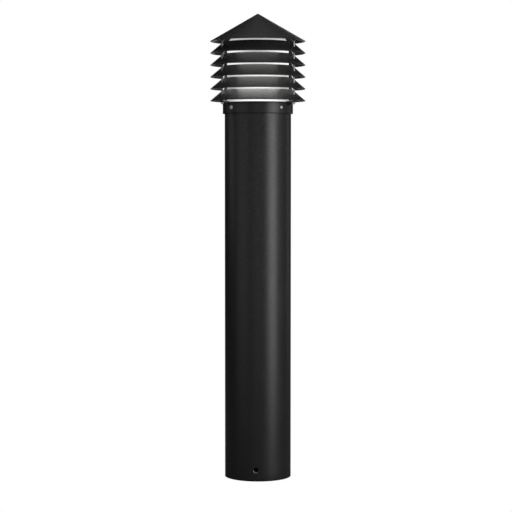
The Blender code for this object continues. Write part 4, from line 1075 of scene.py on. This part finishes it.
def build_tray():
    """Bent sheet: a midline of (y, z) points with an arc at the fold, thickened by half the sheet to each side."""
    low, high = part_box("driver_tray")
    back, foot = high.y - TRAY_SHEET / 2, high.z - TRAY_SHEET / 2
    line = rounded([(back, low.z, 0), (back, foot, TRAY_BEND), (low.y, foot, 0)], 8, closed=False)
    along = np.gradient(line, axis=0)
    along /= np.linalg.norm(along, axis=1, keepdims=True)
    normal = np.stack([-along[:, 1], along[:, 0]], 1) * TRAY_SHEET / 2
    section = np.concatenate([line + normal, (line - normal)[::-1]])
    grid = np.array([[(x, y, z) for y, z in section] for x in (low.x, high.x)])
    half = len(line)
    ends = [as_patch(np.array([side[:half], side[half:][::-1]]), wrap_columns=False) for side in grid]
    foot_span = (high.z - TRAY_SHEET - 2 * PAST, high.z + 2 * PAST)
    holes = [pin(WIRE_HOLE, *foot_span, (0.0, 0.0))]
    holes += [pin(TRAY_SCREW_HOLE, *foot_span, (side * TRAY_BOSS[0], TRAY_BOSS[1])) for side in (-1, 1)]
    holes += [laid_hole(0.0, back, middle_of(name)[2], SHEET_HOLE, 2 * PAST)
              for name in ("driver_screw_1", "driver_screw_2", "ground_screw")]
    mesh = fused(weld("driver_tray_sheet", [as_patch(grid)] + ends), DIFFERENCE=(holes,))
    piece("driver_tray_sheet", mesh, ZINC, "head", "driver_tray")


def build_driver():
    """Potted case on a thin plate with a screw tab at each end."""
    low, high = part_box("led_driver")
    case = rounded_block((low.x, low.y, low.z + DRIVER_TAB), (high.x, high.y, high.z - DRIVER_TAB), 0.0025, 0.0012)
    plate = rounded_block((-DRIVER_PLATE[0], high.y - DRIVER_PLATE[1], low.z), (DRIVER_PLATE[0], high.y, high.z),
                          0.0006, 0.0004)
    holes = [laid_hole(0.0, high.y, middle_of(f"driver_screw_{k}")[2], SHEET_HOLE, 3 * PAST) for k in (1, 2)]
    mesh = fused(weld("led_driver_case", [case]), UNION=([plate],), DIFFERENCE=(holes,))
    piece("led_driver_case", mesh, DRIVER, "head", "led_driver")


def build_terminals():
    """Three-way block with a wire port below and a screw well in front at each way."""
    low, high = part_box("terminal_block")
    ways = (-0.015, 0.0, 0.015)
    port_radius, port_depth = 0.0019, 0.010
    well_radius, well_height, well_depth = 0.0030, 0.020, 0.002
    cuts = [pin(port_radius, low.z - PAST, low.z + port_depth, (x, (low.y + high.y) / 2)) for x in ways]
    cuts += [laid_hole(x, low.y, low.z + well_height, well_radius, well_depth) for x in ways]
    mesh = fused(weld("terminal_block_case", [rounded_block(low, high, 0.0015, 0.0008)]), DIFFERENCE=(cuts,))
    piece("terminal_block_case", mesh, TERMINAL, "head", "terminal_block")


def build_leads():
    """Two round leads: circles across a cubic Bezier between each lead's ends."""
    driver_low, driver_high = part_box("led_driver")
    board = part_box("led_board")[0].z
    y = driver_high.y - 0.014
    top, bottom = driver_high.z - DRIVER_TAB, driver_low.z + DRIVER_TAB
    terminal_y, terminal_top = middle_of("terminal_block")[1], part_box("terminal_block")[1].z
    routes = {
        "lamp_lead": [(0, y, top + FIT_GAP), (0, y, top + 0.018), (0, 0, top + 0.022), (0, 0, board - FIT_GAP)],
        "driver_lead": [(0.012, y, bottom - FIT_GAP), (0.012, y, bottom - 0.025),
                        (0, terminal_y, terminal_top + 0.025), (0, terminal_y, terminal_top + FIT_GAP)]}
    for name, controls in routes.items():
        a, b, c, d = np.array(controls, float)
        t = np.linspace(0, 1, 49)[:, None]
        s = 1 - t
        path = a * s ** 3 + b * 3 * s * s * t + c * 3 * s * t * t + d * t ** 3
        along = np.gradient(path, axis=0)
        along /= np.linalg.norm(along, axis=1, keepdims=True)
        side = np.cross(along, (0.0, 1.0, 0.0))
        side /= np.linalg.norm(side, axis=1, keepdims=True)
        turn = around(24)[None, :, None]
        tube = path[:, None] + LEAD_RADIUS * (np.cos(turn) * side[:, None]
                                              + np.sin(turn) * np.cross(side, along)[:, None])
        closed = np.concatenate([np.broadcast_to(path[0], tube[:1].shape), tube,
                                 np.broadcast_to(path[-1], tube[:1].shape)])
        piece(f"{name}_jacket", [as_patch(closed)], JACKET, "head", name)


# ---- Floor, light and camera ---------------------------------------------------------------
CAMERA_AZIMUTH = math.radians(3.6)
CAMERA_DISTANCE = 3.7336
CAMERA_HEIGHT = 0.7114
CAMERA_ASIDE = -0.0120
CAMERA_TILT = 0.0537
CAMERA_TURN = 0.00205
CAMERA_LENS = 113.90
LAMP_AIM = (0.0, 0.0, 0.6)
LAMPS = (   # azimuth from the camera, distance, height, width, height of the panel, power
    ("key", 51, 2.6, 1.06, 1.35, 2.2, 41),
    ("fill", -54, 2.8, 1.10, 2.4, 2.1, 9),
    ("front", -4, 3.4, 1.1, 2.0, 2.2, 7),
    ("top", 0, 0.2, 2.6, 1.6, 1.6, 5),
    ("side_right", 88, 2.7, 1.1, 0.9, 2.1, 2.2),
    ("side_left", -100, 2.7, 1.02, 0.9, 0.35, 1.3),
    ("back_right", 128, 2.8, 1.0, 0.6, 1.9, 2.2),
    ("back_left", -120, 2.8, 1.9, 0.6, 1.2, 2.5),
    ("back", 176, 3.2, 1.3, 0.9, 2.2, 9),
)
ROOM_LOW, ROOM_HIGH = (0.004,) * 3, (0.12,) * 3        # the dark room, and its paler ceiling
FLOOR_LOW, FLOOR_HIGH = (0.22,) * 3, (0.26,) * 3
FLOOR_REACH, FLOOR_Z = 20.0, -0.0005


def build_camera():
    """Camera in front of the light, a little to one side and tilted down."""
    data = bpy.data.cameras.new("camera")
    data.lens, data.sensor_width, data.clip_end = CAMERA_LENS, 36.0, 50
    camera = placed("camera", data)
    across, _ = compass(CAMERA_AZIMUTH)
    camera.location = ring(CAMERA_AZIMUTH, CAMERA_DISTANCE, CAMERA_HEIGHT) + CAMERA_ASIDE * across
    camera.rotation_euler = (math.pi / 2 - CAMERA_TILT, 0.0, CAMERA_AZIMUTH - CAMERA_TURN)
    bpy.context.scene.camera = camera


def area_light(name, azimuth, distance, height, width, tall, power):
    """Upright soft panel that faces the light's middle; its azimuth counts from the camera's."""
    data = bpy.data.lights.new(name, "AREA")
    data.shape = "RECTANGLE"
    data.size, data.size_y, data.energy = width, tall, power
    lamp = placed(name, data)
    place = ring(math.radians(azimuth) + CAMERA_AZIMUTH, distance, height)
    lamp.location = place
    lamp.rotation_euler = Vector(np.array(LAMP_AIM) - place).to_track_quat("-Z", "Y").to_euler()


def seen_or_not(tree, shader, seen):
    """Shader for all rays but the camera's, which get the other one."""
    looked_at = add_node(tree, "ShaderNodeLightPath").outputs["Is Camera Ray"]
    return add_node(tree, "ShaderNodeMixShader", i0=looked_at, i1=shader, i2=seen.outputs[0]).outputs[0]


def build_studio():
    """White floor that is clear from below, a dark room that looks white, and the lamps."""
    reach = FLOOR_REACH
    corners = [(x, y, FLOOR_Z) for x, y in ((-reach, -reach), (reach, -reach), (reach, reach), (-reach, reach))]
    mesh = bpy.data.meshes.new("floor")
    mesh.from_pydata(corners, [], [(0, 1, 2, 3)])
    floor = placed("floor", mesh)
    material, tree, shader = new_material("floor_white", Roughness=0.9, Specular_IOR_Level=0.1)
    tone = object_noise(tree, 2.0).outputs[0]
    tree.links.new(two_tone(tree, tone, FLOOR_LOW, FLOOR_HIGH), shader.inputs["Base Color"])
    top = seen_or_not(tree, shader.outputs[0], add_node(tree, "ShaderNodeEmission", Strength=1.0))
    clear = add_node(tree, "ShaderNodeBsdfTransparent").outputs[0]
    under = add_node(tree, "ShaderNodeNewGeometry").outputs["Backfacing"]
    one_sided = add_node(tree, "ShaderNodeMixShader", i0=under, i1=top, i2=clear)
    tree.links.new(one_sided.outputs[0], tree.nodes["Material Output"].inputs["Surface"])
    mesh.materials.append(material)

    world = bpy.data.worlds.new("studio")
    bpy.context.scene.world = world
    world.use_nodes = True
    tree = world.node_tree
    room = tree.nodes["Background"]
    height = spread_value(tree, coordinates(tree, "Generated")["Z"], 0.45, 0.9)
    tree.links.new(two_tone(tree, height, ROOM_LOW, ROOM_HIGH), room.inputs["Color"])
    white = add_node(tree, "ShaderNodeBackground", Color=(1, 1, 1, 1), Strength=1.0)
    tree.links.new(seen_or_not(tree, room.outputs[0], white), tree.nodes["World Output"].inputs["Surface"])
    bpy.context.scene.view_settings.view_transform = "Standard"
    for lamp in LAMPS:
        area_light(*lamp)


build_camera()
build_post()
build_fitter()
build_screws()
for louvre_number in range(1, LOUVRE_COUNT + 1):
    build_louvre(louvre_number)
build_cap()
build_rods()
build_lens()
build_anchor()
build_lamp()
build_tray()
build_driver()
build_terminals()
build_leads()
build_small_screws()
build_studio()
